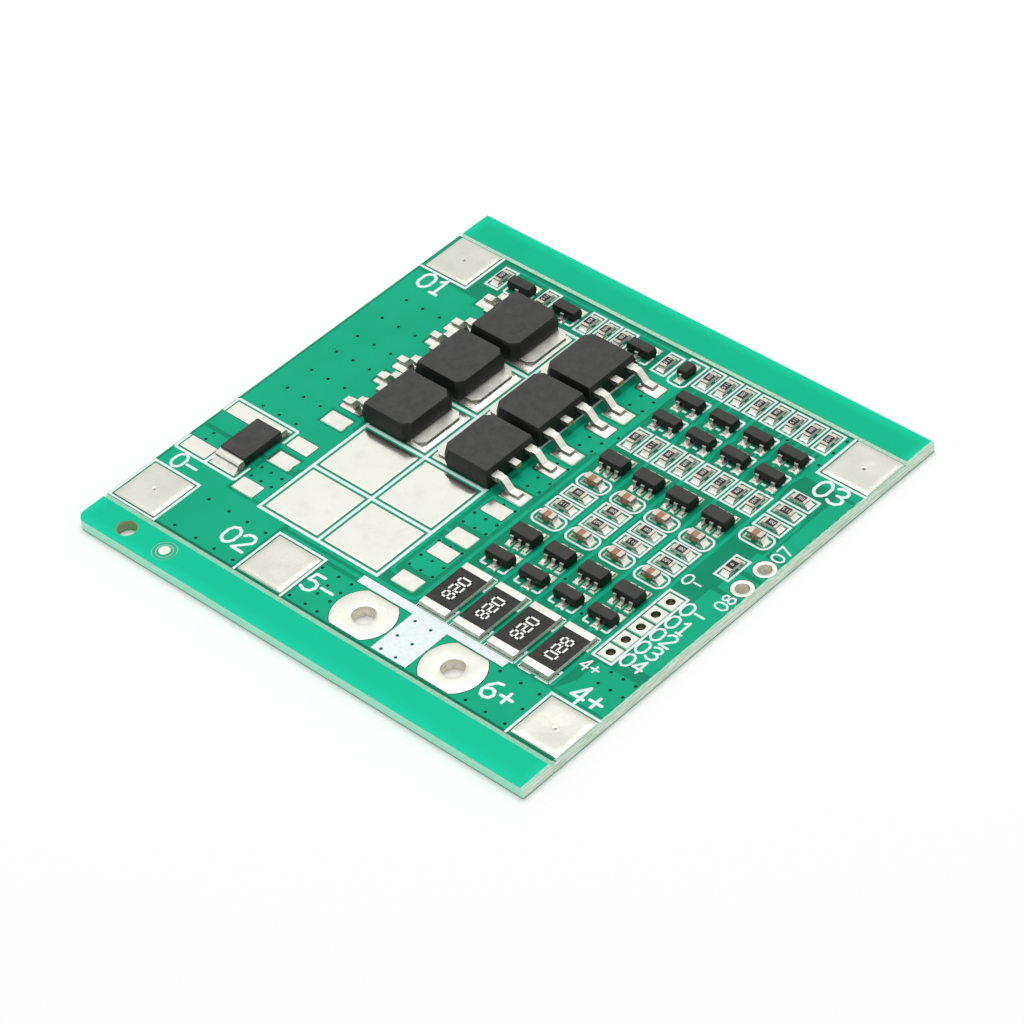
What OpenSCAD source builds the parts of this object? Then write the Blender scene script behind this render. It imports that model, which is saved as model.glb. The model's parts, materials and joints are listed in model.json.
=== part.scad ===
// Battery management board for a pack of four cells in series.
// The panel lies flat. X runs along the breakaway rails, Y from the front rail to the back rail, Z is up.
// The origin is the middle of the underside.

/* [Panel] */
// Length of the panel along X
panel_l = 56; // [55.5:0.5:62]
// Width of the board between the two breakaway grooves
board_w = 48.3; // [48:0.1:54]
// Width of each breakaway rail
rail_w = 3.85; // [3.2:0.05:8]
// Thickness of the bare laminate
laminate_t = 1.1; // [0.8:0.1:1.6]
// Thickness of the copper foil
copper_t = 0.04; // [0.03:0.01:0.08]
// Thickness of the solder mask
mask_t = 0.03; // [0.02:0.01:0.05]
// Height of the tinned lands above the mask
tin_proud = 0.02; // [0.01:0.01:0.05]
// Thickness of the printed ink
ink_t = 0.02; // [0.01:0.01:0.05]
// Width of each breakaway groove
groove_w = 0.4; // [0.2:0.05:0.6]
// Depth of each breakaway groove
groove_d = 0.32; // [0.1:0.02:0.36]
// Radius of the rounded panel corner
corner_r = 1.2; // [0.5:0.1:3]
// Distance that the mask stands back from lands, holes and edges
mask_gap = 0.08; // [0.04:0.01:0.12]

/* [Rail features] */
// Diameter of the tooling hole
tool_d = 2; // [1:0.1:2.8]
// Distance of the tooling hole from the left edge
tool_left = 5; // [3:0.1:7]
// Diameter of the fiducial dot
fiducial_d = 1.15; // [0.8:0.05:1.4]
// Diameter of the bare ring round the fiducial dot
fiducial_clear_d = 2.5; // [2:0.1:2.8]
// Distance of the fiducial from the left edge
fiducial_left = 10; // [9:0.1:12]

/* [Battery pads] */
// Side of each square battery pad
pad_s = 5.35; // [4:0.05:5.4]
// Distance of the left pads' middles from the left edge
pad_left = 3.2; // [3:0.05:3.6]
// Distance of the right pads' middles from the right edge
pad_right = 2.85; // [2.8:0.05:3]
// Distance of the front pads' middles from the front groove
pad_front = 3.3; // [3.2:0.05:3.5]
// Distance of the back pads' middles from the back groove
pad_back = 3; // [2.95:0.05:3.3]
// Place of the middle front pad along X
pad_mid_x = -8.3; // [-8.6:0.1:-8]

/* [Output lands] */
// Diameter of each round output land
ring_d = 6.3; // [5:0.1:6.6]
// Width of the output land across its two flats
ring_flat = 5.15; // [4.4:0.05:5.3]
// Diameter of the plated output hole
output_hole_d = 2.28; // [1.6:0.02:3]
// Distance between the two output holes
ring_pitch = 10.9; // [10.6:0.1:11.2]
// Place of the middle between the output holes along X
ring_mid_x = 7.85; // [7.6:0.05:8.1]
// Distance of the output holes from the front groove
ring_front = 3.2; // [3.1:0.05:3.5]

/* [Header and sensor holes] */
// Pitch of the balance header
header_pitch = 2; // [1.9:0.05:2.1]
// Side of each square header land
header_land = 1.66; // [1.3:0.02:1.74]
// Diameter of each header hole
header_hole_d = 0.92; // [0.7:0.02:1]
// Distance of the header from the right edge
header_right = 5.15; // [5:0.05:5.3]
// Place of the middle header hole along Y
header_y = -6.95; // [-7.2:0.05:-6.7]
// Distance between the two sensor holes
sensor_pitch = 3.1; // [2.8:0.05:3.3]
// Diameter of each round sensor land
sensor_land_d = 2.2; // [1.8:0.05:2.3]
// Diameter of each sensor hole
sensor_hole_d = 1.42; // [0.9:0.02:1.5]
// Distance of the sensor holes from the right edge
sensor_right = 1.25; // [1.2:0.05:1.4]
// Place of the middle between the sensor holes along Y
sensor_y = 3.8; // [3.5:0.1:4.1]

/* [Power transistors] */
// Length of the moulded body along the leads
tr_l = 6.1; // [5.7:0.05:6.3]
// Width of the moulded body
tr_w = 6.7; // [6:0.05:6.8]
// Height of the moulded body
tr_h = 2.2; // [2:0.05:2.6]
// Length of the tab beyond the body
tab_l = 1.3; // [0.8:0.05:1.5]
// Width of the tab
tab_w = 5.5; // [4.6:0.05:5.6]
// Thickness of the tab and the leads
tab_t = 0.5; // [0.4:0.02:0.56]
// Cut of the two body corners beside the tab
body_cut = 0.68; // [0.1:0.02:0.9]
// Distance between the two outer leads
lead_spread = 4.57; // [4.4:0.01:4.8]
// Width of a lead at its foot
lead_w = 0.76; // [0.6:0.02:0.86]
// Width of a lead at its shoulder
shoulder_w = 0.92; // [0.86:0.02:1.1]
// Reach of the leads beyond the body
lead_reach = 3.05; // [2.7:0.05:3.1]
// Height of the middle of the leads where they leave the body
lead_rise = 1.25; // [1.1:0.05:1.35]
// Distance between transistor rows
tr_pitch = 7.13; // [7.05:0.01:7.2]
// Distance between the two drain land columns
drain_pitch = 7.57; // [7.5:0.01:7.7]
// Place of the middle between the drain land columns along X
drain_mid_x = -7.82; // [-8:0.02:-7.6]
// Length of a drain land along X
drain_l = 6.72; // [6.4:0.02:6.8]
// Width of a drain land along Y
drain_w = 6.3; // [6:0.05:6.4]
// Length of a lead land
lead_land_l = 2.7; // [2.4:0.05:2.8]
// Width of a lead land
lead_land_w = 1.68; // [1.4:0.02:1.8]
// Distance from a drain land's middle to its lead lands' middles
lead_land_out = 6.45; // [6.4:0.05:6.6]

/* [Chip columns] */
// Distance between the chip columns
col_pitch = 4.12; // [4.08:0.01:4.2]
// Distance of the middle of the chip columns from the right edge
col_right = 14.77; // [14.7:0.01:14.9]
// Place of the back row of chip resistors along Y
row_res_back = 22; // [21.9:0.05:22.1]
// Place of the back row of three-lead transistors along Y
row_sot_a = 18.2; // [18.1:0.05:18.3]
// Place of the second row of three-lead transistors along Y
row_sot_b = 14.9; // [14.85:0.05:14.95]
// Place of the middle row of chip resistors along Y
row_res_mid = 11.45; // [11.4:0.05:11.5]
// Place of the upper row of six-lead chips along Y
row_chip_up = 7.56; // [7.5:0.02:7.62]
// Place of the upper row of chip capacitors along Y
row_cap_up = 4.57; // [4.5:0.01:4.6]
// Place of the inner row of lengthwise chip resistors along Y
row_res_in = 2.52; // [2.5:0.01:2.55]
// Place of the outer row of lengthwise chip resistors along Y
row_res_out = 0.52; // [0.5:0.01:0.55]
// Place of the lower row of chip capacitors along Y
row_cap_low = -1.55; // [-1.6:0.01:-1.5]
// Place of the lower row of six-lead chips along Y
row_chip_low = -4.74; // [-4.8:0.02:-4.7]
// Place of the lower row of three-lead transistors along Y
row_sot_low = -8.2; // [-8.25:0.01:-8.15]
// Place of the balance resistors along Y
row_big = -13.82; // [-13.85:0.01:-13.8]

/* [Small parts] */
// Length of a six-lead chip body
sot6_l = 2.9; // [2.7:0.05:3]
// Width of a six-lead chip body
sot6_w = 1.6; // [1.5:0.05:1.7]
// Height of a six-lead chip
sot6_h = 1.1; // [0.9:0.05:1.3]
// Span over the leads of a six-lead chip
sot6_span = 2.85; // [2.7:0.05:2.95]
// Length of a three-lead body
sot3_l = 2.92; // [2.8:0.02:3]
// Width of a three-lead body
sot3_w = 1.3; // [1.2:0.05:1.4]
// Height of a three-lead body
sot3_h = 1.02; // [0.9:0.02:1.2]
// Span over the leads of a three-lead body
sot3_span = 2.4; // [2.3:0.05:2.5]
// Length of a small chip
chip_l = 1.6; // [1.5:0.05:1.7]
// Width of a small chip
chip_w = 0.82; // [0.7:0.02:0.9]
// Height of a small chip resistor
chip_h = 0.45; // [0.35:0.05:0.6]
// Height of a small chip capacitor
cap_h = 0.82; // [0.7:0.02:0.95]
// Length of a balance resistor
big_l = 6.3; // [6.2:0.05:6.5]
// Width of a balance or current-sense resistor
big_w = 3.2; // [3:0.05:3.3]
// Height of a balance resistor
big_h = 0.56; // [0.45:0.02:0.7]
// Length of the current-sense resistor
sense_l = 6.4; // [6.2:0.05:6.5]
// Height of the current-sense resistor
sense_h = 1.1; // [0.6:0.05:1.3]

/* [Print] */
// Line width of the small printed frames
line_w = 0.22; // [0.16:0.02:0.26]
// Line width of the large printed frames
frame_w = 0.32; // [0.2:0.02:0.36]
// Height of the large printed digits
digit_h = 2.2; // [1.6:0.1:2.4]

/* [Hidden] */
// Panel edges and the two groove lines
left = -panel_l / 2;
right = panel_l / 2;
front = -board_w / 2;
back = board_w / 2;
panel_w = board_w + 2 * rail_w;
rail_front_y = front - rail_w / 2;

// Levels from the underside up: the laminate carries its own underside coat, level with the plated lands
z_lam = mask_t;
z_cu = z_lam + laminate_t;
z_cover = z_cu + copper_t;
z_top = z_cover + mask_t;
z_fill = z_cover + mask_t / 3;
z_land = z_top + tin_proud;
z_ink = z_top + ink_t;

// Common clearances and roundings
ink_gap = 0.06;
ink_min = 0.04;
land_round = 0.12;
copper_round = 0.12;
foil_gap = 0.01;
isolation = 0.28;
pour_out = 0.35;
pour_gap = 0.5;
track_w = 0.44;
thin_w = 0.3;
pour_left = left + pour_out;
pour_right = right - pour_out;
pour_front = front + pour_gap;
pour_back = back - pour_gap;
body_lift = 0.08;
through = 1;
tiny = 0.001;
arc_fn = 24;
dot_fn = 12;

// Holes
hole_fn = 64;
output_x = [ring_mid_x - ring_pitch / 2, ring_mid_x + ring_pitch / 2];
output_y = front + ring_front;
header_x = right - header_right;
header_ys = [for (i = [-2:2]) header_y - i * header_pitch];
sensor_x = right - sensor_right;
sensor_ys = [sensor_y + sensor_pitch / 2, sensor_y - sensor_pitch / 2];
tool_at = [left + tool_left, rail_front_y];
fiducial_at = [left + fiducial_left, rail_front_y];

// Battery pads: taps 1, 2 and 3, then the pack's negative and positive ends
pad_1 = [left + pad_left, back - pad_back];
pad_2 = [pad_mid_x, front + pad_front];
pad_3 = [right - pad_right, back - pad_back];
pad_neg = [left + pad_left, front + pad_front];
pad_pos = [right - pad_right, front + pad_front];

// Transistor cells: five rows by two columns, rows 0 and 1 left bare
drain_x = [drain_mid_x - drain_pitch / 2, drain_mid_x + drain_pitch / 2];
drain_side = [-1, 1];
cell_y0 = 1.3 - 2 * tr_pitch;
lead_land_spread = lead_spread + 0.05;
tr_out = 1.21;
left_land_x = drain_x[0] - lead_land_out;
right_land_x = drain_x[1] + lead_land_out;
// Column, row and the small shift with which each transistor was soldered
transistors = [
    [0, 4, [-0.1, 0.35]], [0, 3, [-0.45, 0.25]], [0, 2, [-0.3, -0.05]],
    [1, 4, [-0.4, 0.1]], [1, 3, [-0.35, 0.12]], [1, 2, [-0.15, -0.05]]
];
stub_l = 0.85;
lead_in = 0.7;
bend_r = 0.3;
knee = 1;
foot_l = 1.15;
shoulder_l = 0.62;
slug_in = 3.9;
tab_notch = 0.55;
tr_draft = 0.24;
tr_corner = 0.12;
tr_belt = 1;

// Chip columns
col_mid = right - col_right;
cols = [for (i = [0:3]) col_mid + (i - 1.5) * col_pitch];
pair_gap = 2.06;
pair_x = [for (x = cols) for (s = [-0.5, 0.5]) x + s * pair_gap];
low_shift = 0.2;
lead_pitch = 0.95;

// Place and turn of each small chip: turn 0 has its length along X, turn 90 along Y
side_x = right - 4.45;
side_ys = [14.25, 12.2, 10.15];
jumper_at = [right - 3.67, 3.73];
back_row_y = back - 2.7;
back_left_x = [-20, -14.3, -8.5, -6.45, -4.43, 1.36];
resistor_spots = concat(
    [for (x = pair_x) [x, row_res_back, 90]],
    [for (x = pair_x) [x, row_res_mid, 90]],
    [for (x = cols) for (y = [row_res_in, row_res_out]) [x, y, 0]],
    [for (y = side_ys) [side_x, y, 0]],
    [[jumper_at[0], jumper_at[1], 90]],
    [for (x = back_left_x) [x, back_row_y, 90]]
);
capacitor_spots = concat(
    [for (x = cols) [x, row_cap_up, 0]],
    [for (x = cols) [x, row_cap_low, 0]],
    [[side_x, 8.05, 0]]
);
// Three-lead parts: turn 0 has two leads at the front and one at the back
driver_spots = [for (y = [row_sot_a, row_sot_b]) for (x = cols) [x, y, 0]];
bleed_spots = [for (x = cols) [x + low_shift, row_sot_low, 180]];
// Distances of the level transistors from the middle between the drain land columns
level_from_drains = [-9.32, -3.42, 6.08];
level_spots = [for (x = level_from_drains) [drain_mid_x + x, back_row_y - 0.18, 180]];
sot3_spots = concat(driver_spots, bleed_spots, level_spots);
upper_shift = [0, 0, -0.13, 0];
upper_chip_spots = [for (i = [0:3]) [cols[i] + upper_shift[i], row_chip_up]];
lower_chip_spots = [for (x = cols) [x + low_shift, row_chip_low]];
diode_at = [3.7, back_row_y + 0.05];
diode_size = [1.25, 1.7, 0.95];
diode_span = 2.6;
big_spots = [for (x = cols) [x, row_big, 90]];
sense_in = [6.15, 13];
sense_at = [left, front] + sense_in;
sense_shift = [0.1, 0.05];
sense_cap = 0.74;
sense_cap_h = 0.86;
sense_foot = 0.3;
sense_foot_t = 0.14;
sense_spare_x = left + 2.2;

// Small part details
chip_cap = 0.3;
cap_end = 0.48;
chip_skin = 0.04;
big_cap = 0.78;
big_skin = 0.06;
sot_lead_w = 0.42;
sot_lead_t = 0.14;
sot6_lead_w = 0.4;
sot_rise = 0.5;
sot_foot = 0.42;
draft = 0.1;
body_chamfer = 0.1;
top_edge = 0.05;

// Lands of the small parts
chip_land = [0.92, 0.96];
chip_land_x = 0.8;
big_land = [1.15, 3.3];
big_land_x = 2.675;
sot3_land = [0.86, 0.85];
sot6_land = [0.56, 0.85];
land_out = 0.18;
diode_land = [0.9, 0.8];

// Printed frames and marks
bar_h = 0.98;
bar_gap = 0.2;
pad_frame_gap = 0.16;
pad_frame_w = 0.26;
mark_w = 0.24;
thin_mark_w = 0.16;
chip_frame = [3.28, 1.84];
cap_frame = [3.62, 2.08];
cap_frame_r = 0.86;
sot3_corner = [1.42, 1.2];
sot3_leg = [0.72, 1.25];
sot3_dash = [0.5, 0.24];
sot3_dash_y = 0.98;
big_leg = [1.5, 1.85];
header_frame = [2.42, 4 * header_pitch + 2.55];
diode_frame = [2.3, 4.1];
diode_frame_r = 0.7;
sense_leg = 2.05;

// Printed digits and signs: text, lower left corner, height and turn
digit_step = 0.82;
digit_stroke = 0.145;
small_h = 0.75 * digit_h;
label_gap = pad_s / 2 + 0.6;
header_digits = ["0-", "01", "02", "03", "04"];
labels = concat(
    [
        ["01", pad_1 + [-1.55, -label_gap - digit_h], digit_h, 0],
        ["02", pad_2 + [-label_gap - 3.75, -1.05], digit_h, 0],
        ["03", pad_3 + [-1.75, -label_gap - digit_h], digit_h, 0],
        ["0-", pad_neg + [-1.7, label_gap], 0.9 * digit_h, 0],
        ["4+", pad_pos + [-1.6, label_gap], digit_h, 0],
        ["5-", [output_x[0] - ring_d / 2 - 4.1, output_y - 0.95], digit_h, 0],
        ["6+", [output_x[1] + ring_d / 2 + 0.6, output_y - 0.95], digit_h, 0],
        ["0-", [header_x - 1.1, header_ys[0] + 2.5], 0.8 * small_h, 0],
        ["4+", [header_x - 1.1, header_ys[4] - 3.15], 0.8 * small_h, 0],
        ["07", [sensor_x + 0.65, sensor_ys[0] + 1.4], 0.8 * small_h, 90],
        ["08", [sensor_x + 0.65, sensor_ys[1] - 3.3], 0.8 * small_h, 90]
    ],
    [for (i = [0:4])
        [header_digits[i], [header_x + header_land / 2 + 0.5, header_ys[i] - 0.4 * small_h], small_h, 0]]
);

LAND_NODES = [
    "battery_pad_1", "battery_pad_2", "battery_pad_3", "battery_pad_negative", "battery_pad_positive",
    "output_land_negative", "output_land_positive", "balance_header_lands", "sensor_lands",
    "transistor_lands", "component_lands"
];

// Flat shapes

module rect(x0, y0, x1, y1) {
    translate([x0, y0]) square([x1 - x0, y1 - y0]);
}

module middle_rect(at, size) {
    translate([at[0] - size[0] / 2, at[1] - size[1] / 2]) square(size);
}

// A straight line of width w from a to b with round ends
module stroke(a, b, w) {
    d = b - a;
    translate(a) {
        rotate(atan2(d[1], d[0])) translate([0, -w / 2]) square([norm(d), w]);
        circle(d = w, $fn = dot_fn);
    }
    translate(b) circle(d = w, $fn = dot_fn);
}

module path_line(points, w) {
    for (i = [0:len(points) - 2]) stroke(points[i], points[i + 1], w);
}

// A printed rectangle outline, measured over its outside
module outline(at, size, w) {
    difference() {
        middle_rect(at, size);
        middle_rect(at, size - [2 * w, 2 * w]);
    }
}

module panel_2d() {
    difference() {
        middle_rect([0, 0], [panel_l, panel_w]);
        translate([left, -panel_w / 2]) difference() {
            square(corner_r);
            translate([corner_r, corner_r]) circle(r = corner_r, $fn = hole_fn);
        }
    }
}

module grooves_2d(w) {
    for (y = [front, back]) middle_rect([0, y], [panel_l + 2 * through, w]);
}

// Holes through the laminate
module holes_2d() {
    for (x = output_x) translate([x, output_y]) circle(d = output_hole_d, $fn = hole_fn);
    for (y = header_ys) translate([header_x, y]) circle(d = header_hole_d, $fn = hole_fn);
    for (y = sensor_ys) translate([sensor_x, y]) circle(d = sensor_hole_d, $fn = hole_fn);
    translate(tool_at) circle(d = tool_d, $fn = hole_fn);
}

// Lands

module soft_corners(r) {
    offset(r = r, $fn = dot_fn) offset(delta = -r) children();
}

module pad_2d(at) {
    soft_corners(land_round) middle_rect(at, [pad_s, pad_s]);
}

module output_land_2d(x) {
    intersection() {
        translate([x, output_y]) circle(d = ring_d, $fn = hole_fn);
        middle_rect([x, output_y], [ring_d, ring_flat]);
    }
}

module header_lands_2d() {
    for (y = header_ys) middle_rect([header_x, y], [header_land, header_land]);
}

module sensor_lands_2d() {
    for (y = sensor_ys) translate([sensor_x, y]) circle(d = sensor_land_d, $fn = hole_fn);
}

function cell(c, r) = [drain_x[c], cell_y0 + r * tr_pitch];
function lead_land(c, r, s) =
    cell(c, r) + [drain_side[c] * lead_land_out, s * lead_land_spread / 2];
// The isolated gate lands are the back ones on the left side and the front ones on the right side
gate_lands = [for (c = [0, 1]) for (r = [0:4]) lead_land(c, r, c == 0 ? 1 : -1)];

module transistor_lands_2d() {
    soft_corners(land_round) for (c = [0, 1]) for (r = [0:4]) {
        middle_rect(cell(c, r), [drain_l, drain_w]);
        for (s = [-1, 1]) middle_rect(lead_land(c, r, s), [lead_land_l, lead_land_w]);
    }
}

module chip_lands_2d(spot, size, out) {
    translate([spot[0], spot[1]]) rotate(spot[2]) for (s = [-1, 1]) middle_rect([s * out, 0], size);
}

module sot3_lands_2d(spot) {
    y = sot3_span / 2 + land_out - sot3_land[1] / 2;
    translate([spot[0], spot[1]]) rotate(spot[2]) {
        for (s = [-1, 1]) middle_rect([s * lead_pitch, -y], sot3_land);
        middle_rect([0, y], sot3_land);
    }
}

module sot6_lands_2d(spot) {
    y = sot6_span / 2 + land_out - sot6_land[1] / 2;
    for (s = [-1:1]) for (t = [-1, 1])
        middle_rect([spot[0] + s * lead_pitch, spot[1] + t * y], sot6_land);
}

// The sense resistor's back land is one strip for both of its two places
module sense_lands_2d() {
    w = big_land[1];
    strip_l = sense_at[0] + w / 2 - (sense_spare_x - w / 2);
    y = sense_l / 2 + 0.7;
    land_w = 1.75;
    rect(sense_at[0] + w / 2 - strip_l, sense_at[1] + y - land_w, sense_at[0] + w / 2, sense_at[1] + y);
    for (x = [sense_spare_x, sense_at[0]])
        rect(x - w / 2, sense_at[1] - y, x + w / 2, sense_at[1] - y + land_w);
}

module component_lands_2d() {
    offset(delta = ink_min) offset(delta = -ink_min) {
        for (s = resistor_spots) chip_lands_2d(s, chip_land, chip_land_x);
        for (s = capacitor_spots) chip_lands_2d(s, chip_land, chip_land_x);
        for (s = big_spots) chip_lands_2d(s, big_land, big_land_x);
        for (s = sot3_spots) sot3_lands_2d(s);
        for (s = upper_chip_spots) sot6_lands_2d(s);
        for (s = lower_chip_spots) sot6_lands_2d(s);
        chip_lands_2d([diode_at[0], diode_at[1], 90], diode_land, diode_span / 2 - 0.2);
        sense_lands_2d();
        translate(fiducial_at) circle(d = fiducial_d, $fn = arc_fn);
    }
}

module plated_lands_2d() {
    for (x = output_x) output_land_2d(x);
    header_lands_2d();
    sensor_lands_2d();
}

module all_lands_2d() {
    for (p = [pad_1, pad_2, pad_3, pad_neg, pad_pos]) pad_2d(p);
    plated_lands_2d();
    transistor_lands_2d();
    component_lands_2d();
}

module land() {
    translate([0, 0, z_cu]) linear_extrude(z_land - z_cu) children();
}

// A flush land on the underside and a proud one on top, round a hole
module plated_land(at, bore) {
    difference() {
        union() {
            land() children();
            linear_extrude(z_lam) children();
        }
        translate([at[0], at[1], -through])
            cylinder(d = bore, h = z_land + 2 * through, $fn = hole_fn);
    }
}

// Copper foil

// Straight-edged pours, each as left, front, right and back
module pours_2d() {
    left_pours_2d();
    source_pours_2d();
    output_pours_2d();
    right_pours_2d();
    for (c = [0, 1]) for (r = [0:4])
        middle_rect(cell(c, r), [drain_l + 2 * pour_out, drain_w + 2 * pour_out]);
}

// The pack's negative side: left of the transistors, round the sense resistor and along the front
module left_pours_2d() {
    inner = left_land_x + lead_land_l / 2 + pour_out;
    outer = left_land_x - lead_land_l / 2;
    gap_y = sense_at[1];
    tap_y = pad_1[1] - pad_s / 2 - pour_out;
    cell_front = cell_y0 - tr_pitch / 2;
    rect(pour_left, gap_y, inner + pour_out, tap_y - pour_gap);
    rect(pour_left, pour_front, outer - pour_out, gap_y - pour_gap);
    rect(pour_left, pour_front, pad_2[0] - pad_s / 2 - 2 * pour_out, cell_front);
    bare_front = cell_y0 - lead_land_spread / 2 - lead_land_w / 2;
    rect(outer, bare_front, inner + 2 * pour_out, cell_y0 + drain_w / 5);
    rect(pour_left, tap_y, pad_1[0] + pad_s / 2 + pour_out, pour_back);
}

// The right-hand sources, in three lengths down the lead lands
module source_pours_2d() {
    x0 = right_land_x - lead_land_l / 2 - pour_out;
    x1 = right_land_x + lead_land_l / 2 + pour_out;
    half_row = tr_pitch / 2;
    rect(x0, cell_y0 - lead_land_w / 2, x1, cell_y0 + half_row - pour_gap);
    rect(x0, cell_y0 + half_row + pour_gap, x1, cell_y0 + tr_pitch - lead_land_w / 2 - pour_gap);
    rect(x0, cell_y0 + tr_pitch - lead_land_w / 2, x1, pour_back - pour_gap);
    rect(x1 - pour_out, row_chip_up + pour_out, x1 + 2 * pour_out, row_res_back - sot3_span);
}

// The two outputs along the front, the right one joined to the positive battery pad
module output_pours_2d() {
    land_back = output_y + ring_flat / 2 + mask_gap;
    fuse_x = side_x - 2 * pour_out;
    fuse_front = output_y + ring_flat / 2 + 2 * pour_gap;
    fuse_back = header_ys[4] - header_land / 2 - 2 * pour_out;
    rect(pad_2[0] + pad_s / 2 + 2 * pour_out, pour_front, output_x[1] - ring_d / 2 - 2 * pour_out, land_back);
    rect(output_x[1] - ring_d / 2 - pour_out, pour_front, pour_right, land_back);
    rect(output_x[1] + ring_d / 2 + pour_out, pour_front, pour_right, land_back + 2 * pour_out);
    polygon([
        [fuse_x - 2 * pour_gap, fuse_front], [pour_right, fuse_front], [pour_right, fuse_back],
        [fuse_x, fuse_back], [fuse_x, fuse_front + 4 * pour_gap]
    ]);
}

// Tap 3, the sensor lands, the strip along the right edge and the side resistors
module right_pours_2d() {
    half = sensor_land_d / 2 + pour_out / 2;
    strip_x = side_x + chip_land_x + chip_land[0] / 2 + 3 * pour_out;
    rect(side_x - 2 * chip_land[0] - pour_gap, pad_3[1] - pad_s / 2 - 4 * pour_out, pour_right, pour_back);
    for (y = sensor_ys) rect(sensor_x - 3 * half / 2, y - half, pour_right, y + half);
    rect(strip_x, sensor_ys[0] + half + pour_gap, pour_right, pad_3[1] - pad_s / 2 - 5 * pour_out);
    header_side_y = header_ys[2] - 5 * header_land / 2;
    rect(header_x + header_land, header_side_y, pour_right, sensor_ys[1] - half - pour_gap);
    side_left = side_x - chip_l - pour_out / 2;
    for (y = side_ys) rect(side_left, y - 0.9 * chip_w, strip_x - pour_gap, y + 0.9 * chip_w);
}

// Tracks, each a list of points with its width
module tracks_2d() {
    gate_tracks_2d();
    front_tracks_2d();
    column_tracks_2d();
    edge_tracks_2d();
}

// Gates of both transistor columns, joined down the inner side of their lead lands
module gate_tracks_2d() {
    x = right_land_x - lead_land_l / 2 - 2 * pour_gap;
    bend = 0.75;
    last = lead_land(1, 0, -1);
    path_line([
        [x, lead_land(1, 4, -1)[1]], [x, last[1] + bend], [x + 0.3 * bend, last[1] + 0.3 * bend], last
    ], track_w);
    for (r = [1:4]) stroke([x, lead_land(1, r, -1)[1]], lead_land(1, r, -1), track_w);
    inner = left_land_x + lead_land_l / 2 + 2 * track_w;
    back_y = lead_land(0, 1, 1)[1];
    front_y = lead_land(0, 0, 1)[1];
    path_line([
        lead_land(0, 1, 1), [inner - track_w, back_y], [inner, back_y - track_w], [inner, front_y + track_w],
        [inner - track_w, front_y], lead_land(0, 0, 1)
    ], track_w);
}

// Two long tracks in front of the cells, one turning up beside the chip columns
module front_tracks_2d() {
    y = cell_y0 - tr_pitch / 2 - 0.8 * track_w;
    x = cols[0] - pair_gap - track_w / 2;
    path_line([
        [pad_2[0] - pad_s / 2, y], [x - 2 * track_w, y], [x - track_w / 2, y + track_w / 2],
        [x, y + 2 * track_w], [x, row_chip_up]
    ], track_w);
    stroke([pad_2[0] - pad_s / 2, y - 1.7 * track_w], [ring_mid_x, y - 1.7 * track_w], track_w);
}

// Upright tracks between the chip columns, and the short links inside each column
module column_tracks_2d() {
    jog = 0.3;
    for (i = [0:3]) {
        x = cols[i] + col_pitch / 2;
        path_line([
            [x, row_big - big_w], [x, row_res_mid + chip_l], [x - jog, row_sot_b - jog],
            [x - jog, row_sot_b + chip_w], [x, row_sot_a - sot3_span / 2], [x - jog, row_sot_a],
            [x - jog, row_res_back - chip_l]
        ], track_w);
        c = cols[i];
        out = sot3_span / 2;
        for (s = [-1, 1]) {
            pair = c + s * pair_gap / 2;
            foot = c + s * lead_pitch;
            stroke([pair, row_res_back - chip_land_x], [pair, row_sot_a + out], thin_w);
            stroke([foot, row_sot_b - out], [pair, row_res_mid + chip_land_x], thin_w);
            stroke([foot, row_sot_a - out], [foot, row_sot_b + out], thin_w);
        }
        stroke([c, row_chip_up - out], [c - chip_land_x, row_cap_up], thin_w);
        stroke([c + low_shift, row_chip_low - out], [c + low_shift, row_sot_low + out], thin_w);
        stroke([c + low_shift, row_sot_low - out], [c, row_big + big_land_x], track_w);
    }
}

// The link from the side resistors to the back sensor land, and the thin row behind the transistors
module edge_tracks_2d() {
    x = side_x + 2;
    path_line([
        [side_x + chip_land_x, side_ys[1]], [x - thin_w, side_ys[1] - thin_w / 2],
        [x, side_ys[1] - 2 * thin_w], [x, sensor_ys[0] + chip_land_x]
    ], thin_w);
    y = back - 0.95;
    stroke([back_left_x[0], y], [cols[0], y], thin_w);
    for (x = back_left_x) stroke([x, back_row_y + chip_land_x], [x, y], thin_w);
}

module copper_2d() {
    offset(r = copper_round, $fn = dot_fn) offset(delta = -copper_round) {
        difference() {
            pours_2d();
            for (p = gate_lands)
                middle_rect(p, [lead_land_l + 2 * isolation, lead_land_w + 2 * isolation]);
        }
        tracks_2d();
    }
}

// Printed legend

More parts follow.
